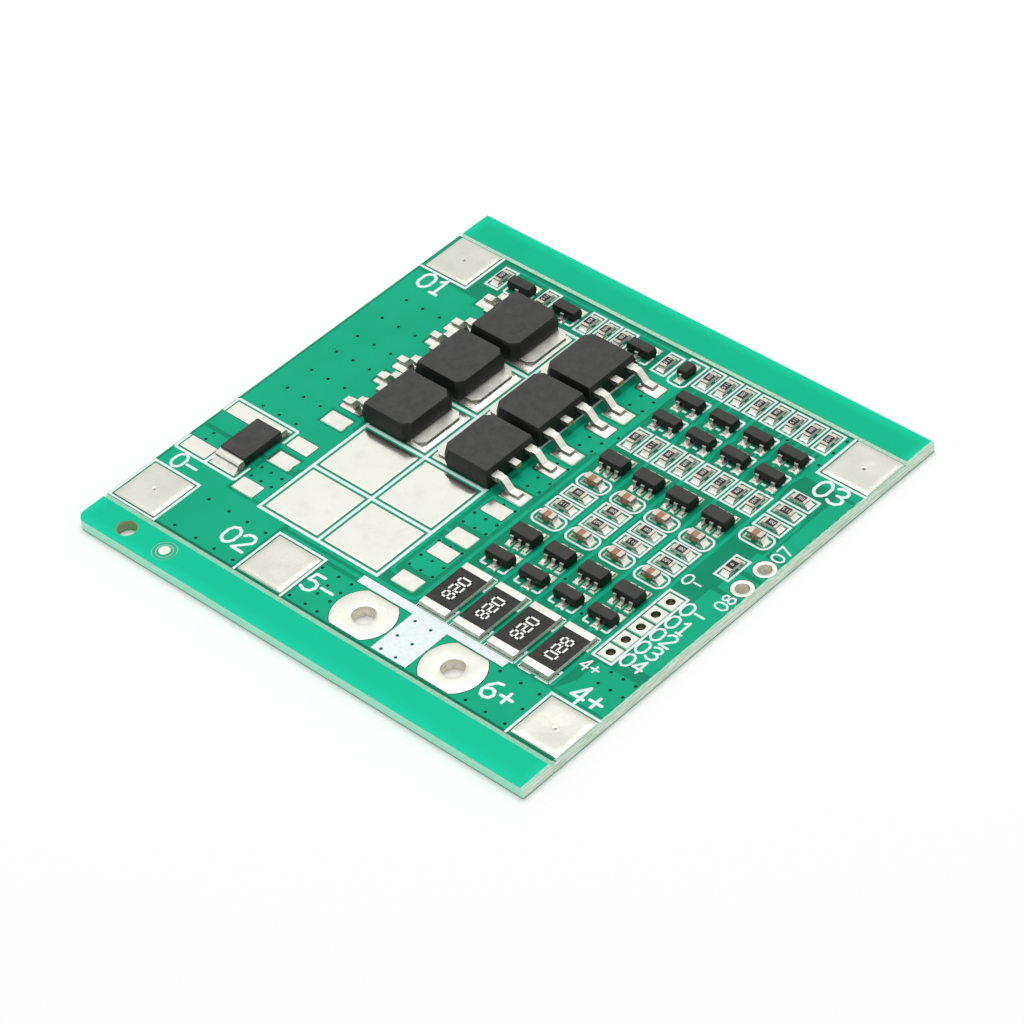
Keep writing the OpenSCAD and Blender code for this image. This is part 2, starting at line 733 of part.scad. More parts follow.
// Strokes of each plain digit and sign in a box 1 high and 0.62 wide
function glyph(c) =
    c == "0" ? [[[0.1, 0.12], [0, 0.3], [0, 0.7], [0.1, 0.9], [0.31, 1], [0.52, 0.9], [0.62, 0.7],
        [0.62, 0.3], [0.52, 0.12], [0.31, 0], [0.1, 0.12]]] :
    c == "1" ? [[[0.1, 0.8], [0.32, 1], [0.32, 0]], [[0.12, 0], [0.52, 0]]] :
    c == "2" ? [[[0, 0.78], [0.1, 0.93], [0.3, 1], [0.5, 0.95], [0.6, 0.8], [0.58, 0.62], [0, 0],
        [0.62, 0]]] :
    c == "3" ? [[[0, 0.88], [0.15, 0.98], [0.4, 1], [0.57, 0.87], [0.57, 0.68], [0.4, 0.54], [0.2, 0.52]],
        [[0.4, 0.54], [0.6, 0.4], [0.62, 0.2], [0.45, 0.03], [0.18, 0], [0, 0.1]]] :
    c == "4" ? [[[0.46, 0], [0.46, 1], [0, 0.32], [0.62, 0.32]]] :
    c == "5" ? [[[0.56, 1], [0.08, 1], [0.02, 0.58], [0.3, 0.64], [0.55, 0.55], [0.62, 0.33], [0.5, 0.08],
        [0.25, 0], [0, 0.1]]] :
    c == "6" ? [[[0.54, 0.98], [0.28, 0.92], [0.05, 0.6], [0, 0.3], [0.12, 0.07], [0.31, 0], [0.52, 0.07],
        [0.62, 0.28], [0.5, 0.5], [0.28, 0.55], [0.02, 0.38]]] :
    c == "7" ? [[[0, 1], [0.62, 1], [0.22, 0]]] :
    c == "8" ? [[[0.31, 0.54], [0.08, 0.66], [0.06, 0.86], [0.31, 1], [0.56, 0.86], [0.54, 0.66],
        [0.31, 0.54], [0.04, 0.38], [0.02, 0.15], [0.31, 0], [0.6, 0.15], [0.58, 0.38], [0.31, 0.54]]] :
    c == "+" ? [[[0, 0.5], [0.62, 0.5]], [[0.31, 0.2], [0.31, 0.8]]] :
    [[[0, 0.5], [0.62, 0.5]]];

// Digits and signs from the lower left corner, h high
module label_2d(at, letters, h, w, turn) {
    translate(at) rotate(turn) for (i = [0:len(letters) - 1]) translate([i * digit_step * h, 0])
        for (line = glyph(letters[i])) path_line(line * h, w);
}

module labels_2d() {
    for (k = labels) label_2d(k[1], k[0], k[2], digit_stroke * k[2], k[3]);
}

// Part of a pad's frame: the sides are given as left, front, right and back
module pad_frame_2d(at, sides, extra = 0) {
    a = pad_s / 2 + pad_frame_gap;
    b = a + pad_frame_w;
    translate(at) {
        if (sides[0]) rect(-b, -b - extra, -a, b);
        if (sides[1]) rect(-b, -b, b, -a);
        if (sides[2]) rect(a, -b - extra, b, b);
        if (sides[3]) rect(-b, a, b, b);
    }
}

// Corner bracket: legs run from the corner along the two signed lengths
module corner_2d(at, leg, w) {
    rect(min(at[0], at[0] + leg[0]), at[1] - w / 2, max(at[0], at[0] + leg[0]), at[1] + w / 2);
    rect(at[0] - w / 2, min(at[1], at[1] + leg[1]), at[0] + w / 2, max(at[1], at[1] + leg[1]));
}

module sot3_marks_2d(spot) {
    translate([spot[0], spot[1]]) rotate(spot[2]) {
        for (s = [-1, 1])
            corner_2d([s * sot3_corner[0], sot3_corner[1]], [-s * sot3_leg[0], -sot3_leg[1]], mark_w);
        middle_rect([0, -sot3_dash_y], sot3_dash);
    }
}

module capacitor_frame_2d(spot) {
    r = cap_frame_r;
    core = cap_frame - [2 * r, 2 * r];
    difference() {
        offset(r = r, $fn = arc_fn) middle_rect(spot, core);
        offset(r = r - line_w, $fn = arc_fn) middle_rect(spot, core);
    }
}

module resistor_frame_2d(spot) {
    outline([spot[0], spot[1]], spot[2] == 90 ? [chip_frame[1], chip_frame[0]] : chip_frame, line_w);
}

module big_frame_2d(at) {
    x = big_w / 2 + pad_frame_gap;
    y = big_land_x + big_land[0] / 2 + pad_frame_gap;
    for (s = [-1, 1]) {
        corner_2d([at[0] + s * x, at[1] + y], [-s * (x + ink_min), -big_leg[1]], pad_frame_w);
        corner_2d([at[0] + s * x, at[1] - y], [-s * big_leg[0], big_leg[1]], pad_frame_w);
    }
}

module transistor_grid_2d() {
    y0 = cell_y0 - tr_pitch / 2;
    for (r = [0:5]) middle_rect([drain_mid_x, y0 + r * tr_pitch], [2 * drain_pitch, frame_w]);
    for (c = [-1:1])
        middle_rect([drain_mid_x + c * drain_pitch, y0 + 2.5 * tr_pitch], [frame_w, 5 * tr_pitch + frame_w]);
}

module sense_frame_2d() {
    y = sense_l / 2 + 1.03;
    x0 = left + pad_frame_w;
    x1 = sense_at[0] + big_w / 2 + 0.45;
    mid = (sense_at[0] + sense_spare_x) / 2;
    for (s = [-1, 1]) {
        corner_2d([x0, sense_at[1] + s * y], [x1 - x0, -s * sense_leg], pad_frame_w);
        corner_2d([x1, sense_at[1] + s * y], [x0 - x1, -s * sense_leg], pad_frame_w);
    }
    middle_rect([mid, sense_at[1] - y + sense_leg / 2], [2 * mark_w, sense_leg]);
}

// The bar over the output lands and the block between them
module bar_2d() {
    reach = ring_d / 2;
    y0 = output_y - ring_flat / 2;
    y1 = output_y + ring_flat / 2 + bar_gap;
    rect(output_x[0] - reach - 2 * bar_gap, y1, output_x[1] + reach + bar_gap, y1 + bar_h);
    rect(output_x[0] + reach + bar_gap, y0, output_x[1] - reach - bar_gap, y1 + bar_h / 2);
}

module header_frame_2d() {
    outline([header_x, header_y], header_frame, mark_w);
    middle_rect([header_x, header_ys[0] - header_pitch / 2], [header_frame[0], thin_mark_w]);
}

// Square behind, rounded at the front
module diode_shape_2d(inset) {
    w = diode_frame[0] - 2 * inset;
    l = diode_frame[1] - 2 * inset;
    r = diode_frame_r - inset;
    translate(diode_at) {
        middle_rect([0, r / 2], [w, l - r]);
        offset(r = r, $fn = arc_fn) middle_rect([0, 0], [w - 2 * r, l - 2 * r]);
    }
}

module diode_frame_2d() {
    difference() {
        diode_shape_2d(0);
        diode_shape_2d(line_w);
    }
}

module legend_2d() {
    offset(delta = ink_min) offset(delta = -ink_min) difference() {
        union() {
            for (s = resistor_spots) resistor_frame_2d(s);
            for (s = capacitor_spots) capacitor_frame_2d(s);
            for (s = sot3_spots) sot3_marks_2d(s);
            for (s = big_spots) big_frame_2d(s);
            diode_frame_2d();
            transistor_grid_2d();
            sense_frame_2d();
            bar_2d();
            header_frame_2d();
            pad_frame_2d(pad_1, [false, true, true, false]);
            pad_frame_2d(pad_2, [true, false, true, true], 0.1);
            pad_frame_2d(pad_3, [true, true, false, false]);
            pad_frame_2d(pad_neg, [true, true, true, true]);
            pad_frame_2d(pad_pos, [true, false, false, true], 0.1);
            labels_2d();
        }
        offset(delta = mask_gap + ink_gap) all_lands_2d();
        grooves_2d(groove_w + 2 * ink_gap);
        rect(right - ink_gap, front, right + through, back);
        rect(left - through, front, left + ink_gap, back);
    }
}

// Moulded bodies

// A closed solid through rings of equal point counts, lowest ring first
module ring_stack(rings) {
    n = len(rings[0]);
    last = len(rings) - 1;
    points = [for (ring = rings) for (p = ring) p];
    faces = concat(
        [[for (i = [0:n - 1]) i]],
        [for (k = [0:last - 1]) for (i = [0:n - 1])
            [k * n + i, (k + 1) * n + i, (k + 1) * n + (i + 1) % n, k * n + (i + 1) % n]],
        [[for (i = [n - 1:-1:0]) last * n + i]]
    );
    polyhedron(points, faces);
}

// A rectangle at height z with its corners cut by c toward +X and by k toward -X
function corner_ring(l, w, c, k, z) = [
    [l / 2, -w / 2 + c, z], [l / 2, w / 2 - c, z], [l / 2 - c, w / 2, z], [-l / 2 + k, w / 2, z],
    [-l / 2, w / 2 - k, z], [-l / 2, -w / 2 + k, z], [-l / 2 + k, -w / 2, z], [l / 2 - c, -w / 2, z]
];

// A moulded body, widest at its belt, with drafted sides and a chamfered top edge
module moulded(l, w, h, lift, belt, slope, c, k) {
    in_l = l - 2 * slope;
    in_w = w - 2 * slope;
    ring_stack([
        corner_ring(l - slope, w - slope, c, k, lift),
        corner_ring(l, w, c, k, belt),
        corner_ring(in_l, in_w, c, k, h - top_edge),
        corner_ring(in_l - 2 * top_edge, in_w - 2 * top_edge, c, k, h)
    ]);
}

// A formed lead seen from its side: out along X from inside the body, down, and flat on its land
module lead_side_2d(start, rise, knee_at, foot_at, end, t) {
    h = t / 2;
    q = t / 4;
    polygon([
        [start, rise - h], [knee_at - q, rise - h], [foot_at - q, 0], [end, 0],
        [end, t], [foot_at + q, t], [knee_at + q, rise + h], [start, rise + h]
    ]);
}

module lead(start, rise, knee_at, foot_at, end, t, w) {
    translate([0, w / 2, 0]) rotate([90, 0, 0]) linear_extrude(w)
        lead_side_2d(start, rise, knee_at, foot_at, end, t);
}

// The same side with both bends rounded outside and inside
module round_lead(start, rise, knee_at, foot_at, end, t, w) {
    r = bend_r;
    s = 0.4 * t;
    translate([0, w / 2, 0]) rotate([90, 0, 0]) linear_extrude(w) intersection() {
        offset(r = -r, $fn = arc_fn) offset(r = r + s, $fn = arc_fn) offset(delta = -s)
            lead_side_2d(start - 2 * r, rise, knee_at, foot_at, end + r, t);
        rect(start, 0, end, rise + t);
    }
}

// The power transistor's own frame: leads toward +X, body centred, underside at 0
module transistor_lead_shape() {
    edge = tr_l / 2;
    in_x = edge - lead_in;
    shoulder_end = edge + knee;
    foot_x = edge + lead_reach - foot_l;
    for (s = [-1, 1]) translate([0, s * lead_spread / 2, 0]) {
        round_lead(in_x, lead_rise, shoulder_end, foot_x, edge + lead_reach, tab_t, lead_w);
        translate([in_x, -shoulder_w / 2, lead_rise - tab_t / 2])
            cube([edge - in_x + shoulder_l, shoulder_w, tab_t]);
    }
    translate([in_x, -lead_w / 2, lead_rise - tab_t / 2]) cube([lead_in + stub_l, lead_w, tab_t]);
}

module tab_shape() {
    n = tab_notch;
    l = slug_in + tab_l;
    translate([-tr_l / 2 - tab_l, -tab_w / 2, 0]) linear_extrude(tab_t)
        polygon([[0, n], [n, 0], [l, 0], [l, tab_w], [n, tab_w], [0, tab_w - n]]);
}

module transistor_body_shape() {
    difference() {
        moulded(tr_l, tr_w, tr_h, 0, tr_belt, tr_draft, tr_corner, body_cut);
        transistor_lead_shape();
        tab_shape();
    }
}

module at_transistor(i) {
    t = transistors[i];
    side = drain_side[t[0]];
    c = cell(t[0], t[1]) + [side * tr_out, 0] + t[2];
    translate([c[0], c[1], z_land]) rotate([0, 0, side > 0 ? 0 : 180]) children();
}

// Small three- and six-lead parts: leads run along Y, seat at 0
module small_lead(half_w, span, w) {
    reach = span / 2;
    start = half_w - 0.3;
    rotate([0, 0, 90]) lead(start, sot_rise, half_w + 0.12, reach - sot_foot, reach, sot_lead_t, w);
}

module sot3_leads_shape() {
    small_lead(sot3_w / 2, sot3_span, sot_lead_w);
    for (s = [-1, 1]) translate([s * lead_pitch, 0, 0]) rotate([0, 0, 180])
        small_lead(sot3_w / 2, sot3_span, sot_lead_w);
}

module sot6_leads_shape() {
    for (s = [-1:1]) for (t = [0, 180]) translate([s * lead_pitch, 0, 0]) rotate([0, 0, t])
        small_lead(sot6_w / 2, sot6_span, sot6_lead_w);
}

module sot3_body_shape() {
    difference() {
        moulded(sot3_l, sot3_w, sot3_h, body_lift, sot_rise, draft, body_chamfer, body_chamfer);
        sot3_leads_shape();
    }
}

module sot6_body_shape() {
    difference() {
        moulded(sot6_l, sot6_w, sot6_h, body_lift, sot_rise, draft, body_chamfer, body_chamfer);
        sot6_leads_shape();
    }
}

module diode_leads_shape() {
    for (t = [0, 180]) rotate([0, 0, t]) small_lead(diode_size[1] / 2, diode_span, 0.32);
}

module diode_body_shape() {
    difference() {
        moulded(
            diode_size[0], diode_size[1], diode_size[2], body_lift, sot_rise,
            draft, body_chamfer, body_chamfer
        );
        diode_leads_shape();
    }
}

module seat(spot) {
    translate([spot[0], spot[1], z_land]) rotate([0, 0, len(spot) > 2 ? spot[2] : 0]) children();
}

// Chips: length along X, width along Y, seat at 0

module chip_core(l, w, h, skin) {
    translate([-l / 2 + skin, -w / 2, skin]) cube([l - 2 * skin, w, h - 2 * skin]);
}

module chip_coat(l, w, h, cap, skin) {
    translate([-l / 2 + cap, -w / 2, h - skin]) cube([l - 2 * cap, w, skin]);
}

// Wrapped terminals over both ends
module chip_terminals(l, w, h, cap, skin) {
    for (s = [-1, 1]) difference() {
        translate([s > 0 ? l / 2 - cap : -l / 2, -w / 2, 0]) cube([cap, w, h]);
        translate([s > 0 ? l / 2 - cap - 1 : -l / 2 + skin, -w / 2 - 1, skin])
            cube([cap + 1 - skin, w + 2, h - 2 * skin]);
    }
}

// Capacitor ends are dipped, so they cover the sides too
module capacitor_body_shape() {
    translate([-chip_l / 2 + chip_skin, -chip_w / 2 + chip_skin, chip_skin])
        cube([chip_l - 2 * chip_skin, chip_w - 2 * chip_skin, cap_h - 2 * chip_skin]);
}

module capacitor_ends_shape() {
    difference() {
        for (s = [-1, 1]) translate([s > 0 ? chip_l / 2 - cap_end : -chip_l / 2, -chip_w / 2, 0])
            cube([cap_end, chip_w, cap_h]);
        capacitor_body_shape();
    }
}

// Sub-parts

module groove(y, z, depth) {
    lift = depth > 0 ? -tiny : tiny;
    translate([left - through, y, z]) rotate([90, 0, 90]) linear_extrude(panel_l + 2 * through)
        polygon([[-groove_w / 2, lift], [groove_w / 2, lift], [0, depth]]);
}

module laminate() {
    color("palegreen") difference() {
        linear_extrude(z_cu) difference() {
            panel_2d();
            holes_2d();
        }
        translate([0, 0, -through]) linear_extrude(through + z_lam) plated_lands_2d();
        for (y = [front, back]) {
            groove(y, 0, groove_d);
            groove(y, z_cu, -groove_d);
        }
    }
}

// The foil keeps a hair's breadth clear of the lands' round edges
module copper_foil() {
    color("peru") translate([0, 0, z_cu]) linear_extrude(copper_t) offset(delta = -foil_gap) difference() {
        copper_2d();
        all_lands_2d();
    }
}

// Outline of the mask, kept back from lands, holes, grooves and edges
module mask_2d() {
    offset(delta = -mask_gap) difference() {
        offset(delta = mask_gap / 2) panel_2d();
        grooves_2d(groove_w - mask_gap);
        all_lands_2d();
        translate(tool_at) circle(d = tool_d, $fn = hole_fn);
        translate(fiducial_at) circle(d = fiducial_clear_d - 2 * mask_gap, $fn = hole_fn);
    }
}

module solder_mask() {
    color("mediumseagreen") {
        translate([0, 0, z_cu]) linear_extrude(z_fill - z_cu) offset(delta = -tiny) difference() {
            mask_2d();
            copper_2d();
        }
        translate([0, 0, z_cover]) linear_extrude(mask_t) offset(delta = -tiny) intersection() {
            mask_2d();
            copper_2d();
        }
    }
}

module legend_ink() {
    color("white") translate([0, 0, z_top]) linear_extrude(z_ink - z_top) legend_2d();
}

module battery_pad(at) {
    color("gainsboro") land() pad_2d(at);
}

module output_land(i) {
    color("gainsboro") plated_land([output_x[i], output_y], output_hole_d) output_land_2d(output_x[i]);
}

module balance_header_lands() {
    color("gainsboro") for (y = header_ys)
        plated_land([header_x, y], header_hole_d) middle_rect([header_x, y], [header_land, header_land]);
}

module sensor_lands() {
    color("gainsboro") for (y = sensor_ys)
        plated_land([sensor_x, y], sensor_hole_d) translate([sensor_x, y]) circle(d = sensor_land_d);
}

module transistor_lands() {
    color("whitesmoke") land() transistor_lands_2d();
}

module component_lands() {
    color("whitesmoke") land() component_lands_2d();
}

module transistor_body(i) {
    color("dimgray") at_transistor(i) transistor_body_shape();
}

module transistor_leadframe(i) {
    color("silver") at_transistor(i) {
        transistor_lead_shape();
        tab_shape();
    }
}

// The sense resistor is a moulded block between two metal ends that reach a little way under it
module sense_resistor_body() {
    block = sense_l - 2 * sense_cap;
    color("darkslategray") seat(concat(sense_at + sense_shift, [90])) moulded(
        block, big_w, sense_h, sense_foot_t, sense_cap_h, 0, body_chamfer, body_chamfer
    );
}

module sense_resistor_terminals() {
    corner = 0.16;
    inner = sense_l / 2 - sense_cap;
    color("silver") seat(concat(sense_at + sense_shift, [90])) for (t = [0, 180]) rotate([0, 0, t])
        translate([0, big_w / 2 - top_edge, 0]) rotate([90, 0, 0]) linear_extrude(big_w - 2 * top_edge)
            polygon([
                [inner - sense_foot, 0], [sense_l / 2, 0], [sense_l / 2, sense_cap_h - corner],
                [sense_l / 2 - corner, sense_cap_h], [inner, sense_cap_h], [inner, sense_foot_t],
                [inner - sense_foot, sense_foot_t]
            ]);
}

module balance_resistor_body(i) {
    color("ivory") seat(big_spots[i]) chip_core(big_l, big_w, big_h, big_skin);
}

module balance_resistor_coats() {
    color("dimgray") for (s = big_spots) seat(s) chip_coat(big_l, big_w, big_h, big_cap, big_skin);
}

module balance_resistor_terminals() {
    color("silver") for (s = big_spots) seat(s) chip_terminals(big_l, big_w, big_h, big_cap, big_skin);
}

module six_lead_body(spot) {
    color("dimgray") seat(spot) sot6_body_shape();
}

module six_lead_leads(spots) {
    color("silver") for (s = spots) seat(s) sot6_leads_shape();
}

module three_lead_bodies(spots) {
    color("dimgray") for (s = spots) seat(s) sot3_body_shape();
}

module three_lead_leads(spots) {
    color("silver") for (s = spots) seat(s) sot3_leads_shape();
}

module diode_body() {
    color("dimgray") seat(diode_at) diode_body_shape();
}

module diode_leads() {
    color("silver") seat(diode_at) diode_leads_shape();
}

module chip_resistor_bodies() {
    color("ivory") for (s = resistor_spots) seat(s) chip_core(chip_l, chip_w, chip_h, chip_skin);
}

module chip_resistor_coats() {
    color("dimgray") for (s = resistor_spots) seat(s)
        chip_coat(chip_l, chip_w, chip_h, chip_cap, chip_skin);
}

module chip_resistor_terminals() {
    color("silver") for (s = resistor_spots) seat(s)
        chip_terminals(chip_l, chip_w, chip_h, chip_cap, chip_skin);
}

module chip_capacitor_bodies() {
    color("tan") for (s = capacitor_spots) seat(s) capacitor_body_shape();
}

module chip_capacitor_ends() {
    color("silver") for (s = capacitor_spots) seat(s) capacitor_ends_shape();
}

laminate();
copper_foil();
solder_mask();
legend_ink();
battery_pad(pad_1);  // battery_pad_1
battery_pad(pad_2);  // battery_pad_2
battery_pad(pad_3);  // battery_pad_3
battery_pad(pad_neg);  // battery_pad_negative
battery_pad(pad_pos);  // battery_pad_positive
output_land(0);  // output_land_negative
output_land(1);  // output_land_positive
balance_header_lands();
sensor_lands();
transistor_lands();
component_lands();
for (i = [1:6]) {
    transistor_body(i - 1);
    transistor_leadframe(i - 1);
}
sense_resistor_body();
sense_resistor_terminals();
for (i = [1:4]) {
    balance_resistor_body(i - 1);
    six_lead_body(upper_chip_spots[i - 1]);
    six_lead_body(lower_chip_spots[i - 1]);
}
balance_resistor_coats();
balance_resistor_terminals();
six_lead_leads(upper_chip_spots);  // upper_chip_leads
six_lead_leads(lower_chip_spots);  // lower_chip_leads
three_lead_bodies(driver_spots);  // driver_transistor_bodies
three_lead_leads(driver_spots);  // driver_transistor_leads
three_lead_bodies(bleed_spots);  // bleed_transistor_bodies
three_lead_leads(bleed_spots);  // bleed_transistor_leads
three_lead_bodies(level_spots);  // level_transistor_bodies
three_lead_leads(level_spots);  // level_transistor_leads
diode_body();
diode_leads();
chip_resistor_bodies();
chip_resistor_coats();
chip_resistor_terminals();
chip_capacitor_bodies();
chip_capacitor_ends();  // chip_capacitor_terminals
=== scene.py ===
import json
import math
import random

import bpy
from mathutils import Matrix, Vector


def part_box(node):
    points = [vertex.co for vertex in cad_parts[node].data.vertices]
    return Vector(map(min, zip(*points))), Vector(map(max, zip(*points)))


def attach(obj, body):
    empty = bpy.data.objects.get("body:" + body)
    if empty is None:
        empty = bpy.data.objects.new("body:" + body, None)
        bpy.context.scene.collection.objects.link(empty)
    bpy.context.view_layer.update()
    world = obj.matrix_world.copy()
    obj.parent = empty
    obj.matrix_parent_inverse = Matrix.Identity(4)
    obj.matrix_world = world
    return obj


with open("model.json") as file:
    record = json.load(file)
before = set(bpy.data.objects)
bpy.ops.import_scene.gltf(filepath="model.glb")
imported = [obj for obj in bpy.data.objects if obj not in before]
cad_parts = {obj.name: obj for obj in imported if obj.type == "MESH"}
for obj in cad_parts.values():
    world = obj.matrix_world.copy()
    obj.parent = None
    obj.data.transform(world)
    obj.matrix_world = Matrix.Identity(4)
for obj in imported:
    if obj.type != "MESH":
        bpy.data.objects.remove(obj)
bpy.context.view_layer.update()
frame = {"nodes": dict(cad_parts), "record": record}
nodes = frame["nodes"]

# Lengths are written in millimetres, except where metres are named
MM = 0.001


# Places and sizes that the CAD model gives

def in_mm(metres):
    return round(metres / MM, 4)


def middle(node):
    """The middle of a CAD node, seen from above."""
    low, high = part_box(node)
    return tuple(in_mm((low[axis] + high[axis]) / 2) for axis in (0, 1))


def extent(node, axis):
    """The length of a CAD node along an axis."""
    low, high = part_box(node)
    return in_mm(high[axis] - low[axis])


def top_of(node):
    return in_mm(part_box(node)[1][2])


def holes(kind):
    """Middle and radius of each round hole of a kind, from the record's mounts."""
    return [
        ((in_mm(mount["pos_m"][0]), in_mm(mount["pos_m"][1])), mount["dims"]["r_mm"])
        for mount in frame["record"]["mounts"]
        if mount["kind"] == "bore" and mount["name"].startswith(kind)
    ]


def transistor(number):
    """Middle of a transistor's body, and the side that its leads point to."""
    x, y = middle(f"transistor_body_{number}")
    leads_x, _ = middle(f"transistor_leadframe_{number}")
    return x, y, 1 if leads_x > x else -1


# Levels of the board above its underside. The mask stands a little higher over copper, and
# turns paler between the last two
Z_MASK = top_of("solder_mask")
Z_LAND = top_of("battery_pad_1")
Z_OVER_COPPER = (1.186, 1.194)

# Panel: where the rails' colour starts, the dark line beside each groove, and the radii of
# the painted shade on the tooling hole's wall and of the rings round the fiducial
HALF_PANEL = extent("laminate", 0) / 2
RAIL_FROM, RAIL_FULL = 24.1, 24.3
GROOVE_SIDE_Y = 23.78
TOOLING_HOLE, _ = holes("tooling")[0]
TOOLING_WALL_SHADE = (1.10, 1.15)
FIDUCIAL_SHIFT = 5.0
FIDUCIAL = (TOOLING_HOLE[0] + FIDUCIAL_SHIFT, TOOLING_HOLE[1])
FIDUCIAL_RINGS = (0.82, 1.21)
FIDUCIAL_CLEAR = (1.30, 1.34)

# Battery pads: place of the probe's dimple from the pad's middle, and how deep it is
PAD_SIDE = extent("battery_pad_1", 0)
PADS = {
    "battery_pad_1": ((0.0, 0.05), 0.35),
    "battery_pad_2": ((0.4, 0.3), 0.0),
    "battery_pad_3": ((0.15, -0.05), 1.0),
    "battery_pad_negative": ((0.0, 0.0), 1.0),
    "battery_pad_positive": ((0.2, -0.1), 1.0),
}

# Tin round the output, header and sensor holes
OUTPUT_R, OUTPUT_FLAT = 3.15, extent("output_land_negative", 1) / 2
HEADER_LIP = 0.12
SENSOR_R = extent("sensor_lands", 0) / 2
PLATING = 0.02

# Transistors and their lands, in two columns and five rows
TRANSISTORS = [transistor(i) for i in range(1, 7)]
BODY_L = extent("transistor_body_1", 0)
LEAD_REACH, LEAD_SPREAD, LEAD_W, LEAD_T, LEAD_RISE = 3.05, 4.57, 0.76, 0.5, 1.25
LEAD_FOOT_L = 1.15
STUB_L, STUB_W = 0.85, 0.6
TAB_W = extent("transistor_leadframe_1", 1)
TAB_L, TAB_UNDER, TAB_INSET = 1.3, 0.2, 0.05
FIELD_X, FIELD_Y = middle("transistor_lands")
DRAIN_OUT, DRAIN_PITCH = 3.785, 7.13
DRAIN_X = (FIELD_X - DRAIN_OUT, FIELD_X + DRAIN_OUT)
DRAIN_YS = tuple(FIELD_Y + DRAIN_PITCH * row for row in range(-2, 3))
DRAIN_L, DRAIN_W, DRAIN_MARGIN = 6.72, 6.3, 0.04
BARE_DRAIN_ROWS = 2
LEAD_LAND = (2.5, 1.6)
LEAD_LAND_FAR, LEAD_LAND_OUT = 10.235, 2.31
LEAD_LAND_X = (FIELD_X - LEAD_LAND_FAR, FIELD_X + LEAD_LAND_FAR)

# Columns and rows of the small parts: middle and turn of each
BIG_RESISTORS = [(*middle(f"balance_resistor_body_{i}"), 90) for i in range(1, 5)]
COLS = tuple(x for x, _, _ in BIG_RESISTORS)
PAIR_OUT = 1.03
PAIR_X = tuple(c + s * PAIR_OUT for c in COLS for s in (-1, 1))
BACK_ROW_Y = 21.45
BACK_ROW_X = (-20.0, -14.3, -8.5, -6.45, -4.43, 1.36)
SIDE_X = 23.55
LINK = (24.33, 3.73, 90)
RESISTORS = tuple(
    [(x, 22.0, 90) for x in PAIR_X]
    + [(x, 11.45, 90) for x in PAIR_X]
    + [(x, y, 0) for x in COLS for y in (2.52, 0.52)]
    + [(SIDE_X, y, 0) for y in (14.25, 12.2, 10.15)]
    + [LINK]
    + [(x, BACK_ROW_Y, 90) for x in BACK_ROW_X]
)
CAPACITORS = tuple([(x, y, 0) for y in (4.57, -1.55) for x in COLS] + [(SIDE_X, 8.05, 0)])
UPPER_CHIPS, LOWER_CHIPS = (
    [middle(f"{row}_chip_body_{i}") for i in range(1, 5)] for row in ("upper", "lower")
)
SOT6 = UPPER_CHIPS + LOWER_CHIPS
# Three-lead parts: the drivers point their pair of leads to the front, the others to the back
DRIVER_Y, BLEED_Y, LEVEL_Y = (
    middle(f"{kind}_transistor_bodies")[1] for kind in ("driver", "bleed", "level")
)
DRIVER_OUT = 1.65
SOT3 = tuple(
    [(x, y, 0) for y in (DRIVER_Y + DRIVER_OUT, DRIVER_Y - DRIVER_OUT) for x in COLS]
    + [(x, BLEED_Y, 180) for x, _ in LOWER_CHIPS]
    + [(x, LEVEL_Y, 180) for x in (-17.14, -11.24, -1.74)]
)
SENSE_LANDS = ((-21.85, -14.175), (-21.85, -8.125))
DIODE_X, DIODE_Y = middle("diode_body")
DIODE_OUT = 1.1
DIODE_LANDS = tuple((DIODE_X, DIODE_Y + s * DIODE_OUT) for s in (-1, 1))

# Sizes of the small parts and their lands. A foot is the metal that stands on a land: x0, x1,
# y0 and y1 from the land's middle. Away from the part is x, or y for the SOT packages
CHIP_L, CHIP_W, CHIP_CAP = 1.6, 0.82, 0.3
CHIP_LAND, CHIP_LAND_OUT = (0.92, 0.96), 0.8
SOT_PITCH = 0.95
SOT3_LAND, SOT3_LAND_OUT, SOT3_FOOT = (0.86, 0.85), 0.955, (-0.21, 0.21, -0.2, 0.24)
SOT6_LAND, SOT6_LAND_OUT, SOT6_FOOT = (0.56, 0.85), 1.18, (-0.2, 0.2, -0.2, 0.24)
SENSE_LAND, SENSE_FOOT = (1.73, 3.26), (-0.85, 0.17, -1.55, 1.55)
DIODE_LAND, DIODE_FOOT = (0.9, 0.8), (-0.3, 0.2, -0.26, 0.26)
BIG_L = extent("balance_resistor_terminals", 1)
BIG_W = extent("balance_resistor_body_1", 0)
BIG_LAND, BIG_LAND_OUT, BIG_FOOT_X = (1.15, 3.3), 2.675, -0.55

# Tin: how far a coat reaches above and below the land's level at its rim, the margin that it
# leaves all round, and the level at which the plated wall of a hole starts
TIN_LIFT, TIN_SINK = 0.004, 0.004
COAT_MARGIN = 0.03
BARREL_FOOT = 0.02

# Solder: how high it climbs at each kind of joint, how much that varies, how it curves, the
# margin that it leaves, and the shortest slope
RISES = {"resistor": 0.30, "capacitor": 0.50, "sot3": 0.20, "sot6": 0.17, "lead": 0.12,
         "tab": 0.15, "sense": 0.5, "diode": 0.2, "balance": 0.3}
RISE_SPREAD, SKEW, FILLET_CURVE = (0.82, 1.12), 0.12, 1.9
LAND_MARGIN = 0.02
SHORTEST_SLOPE = 0.02

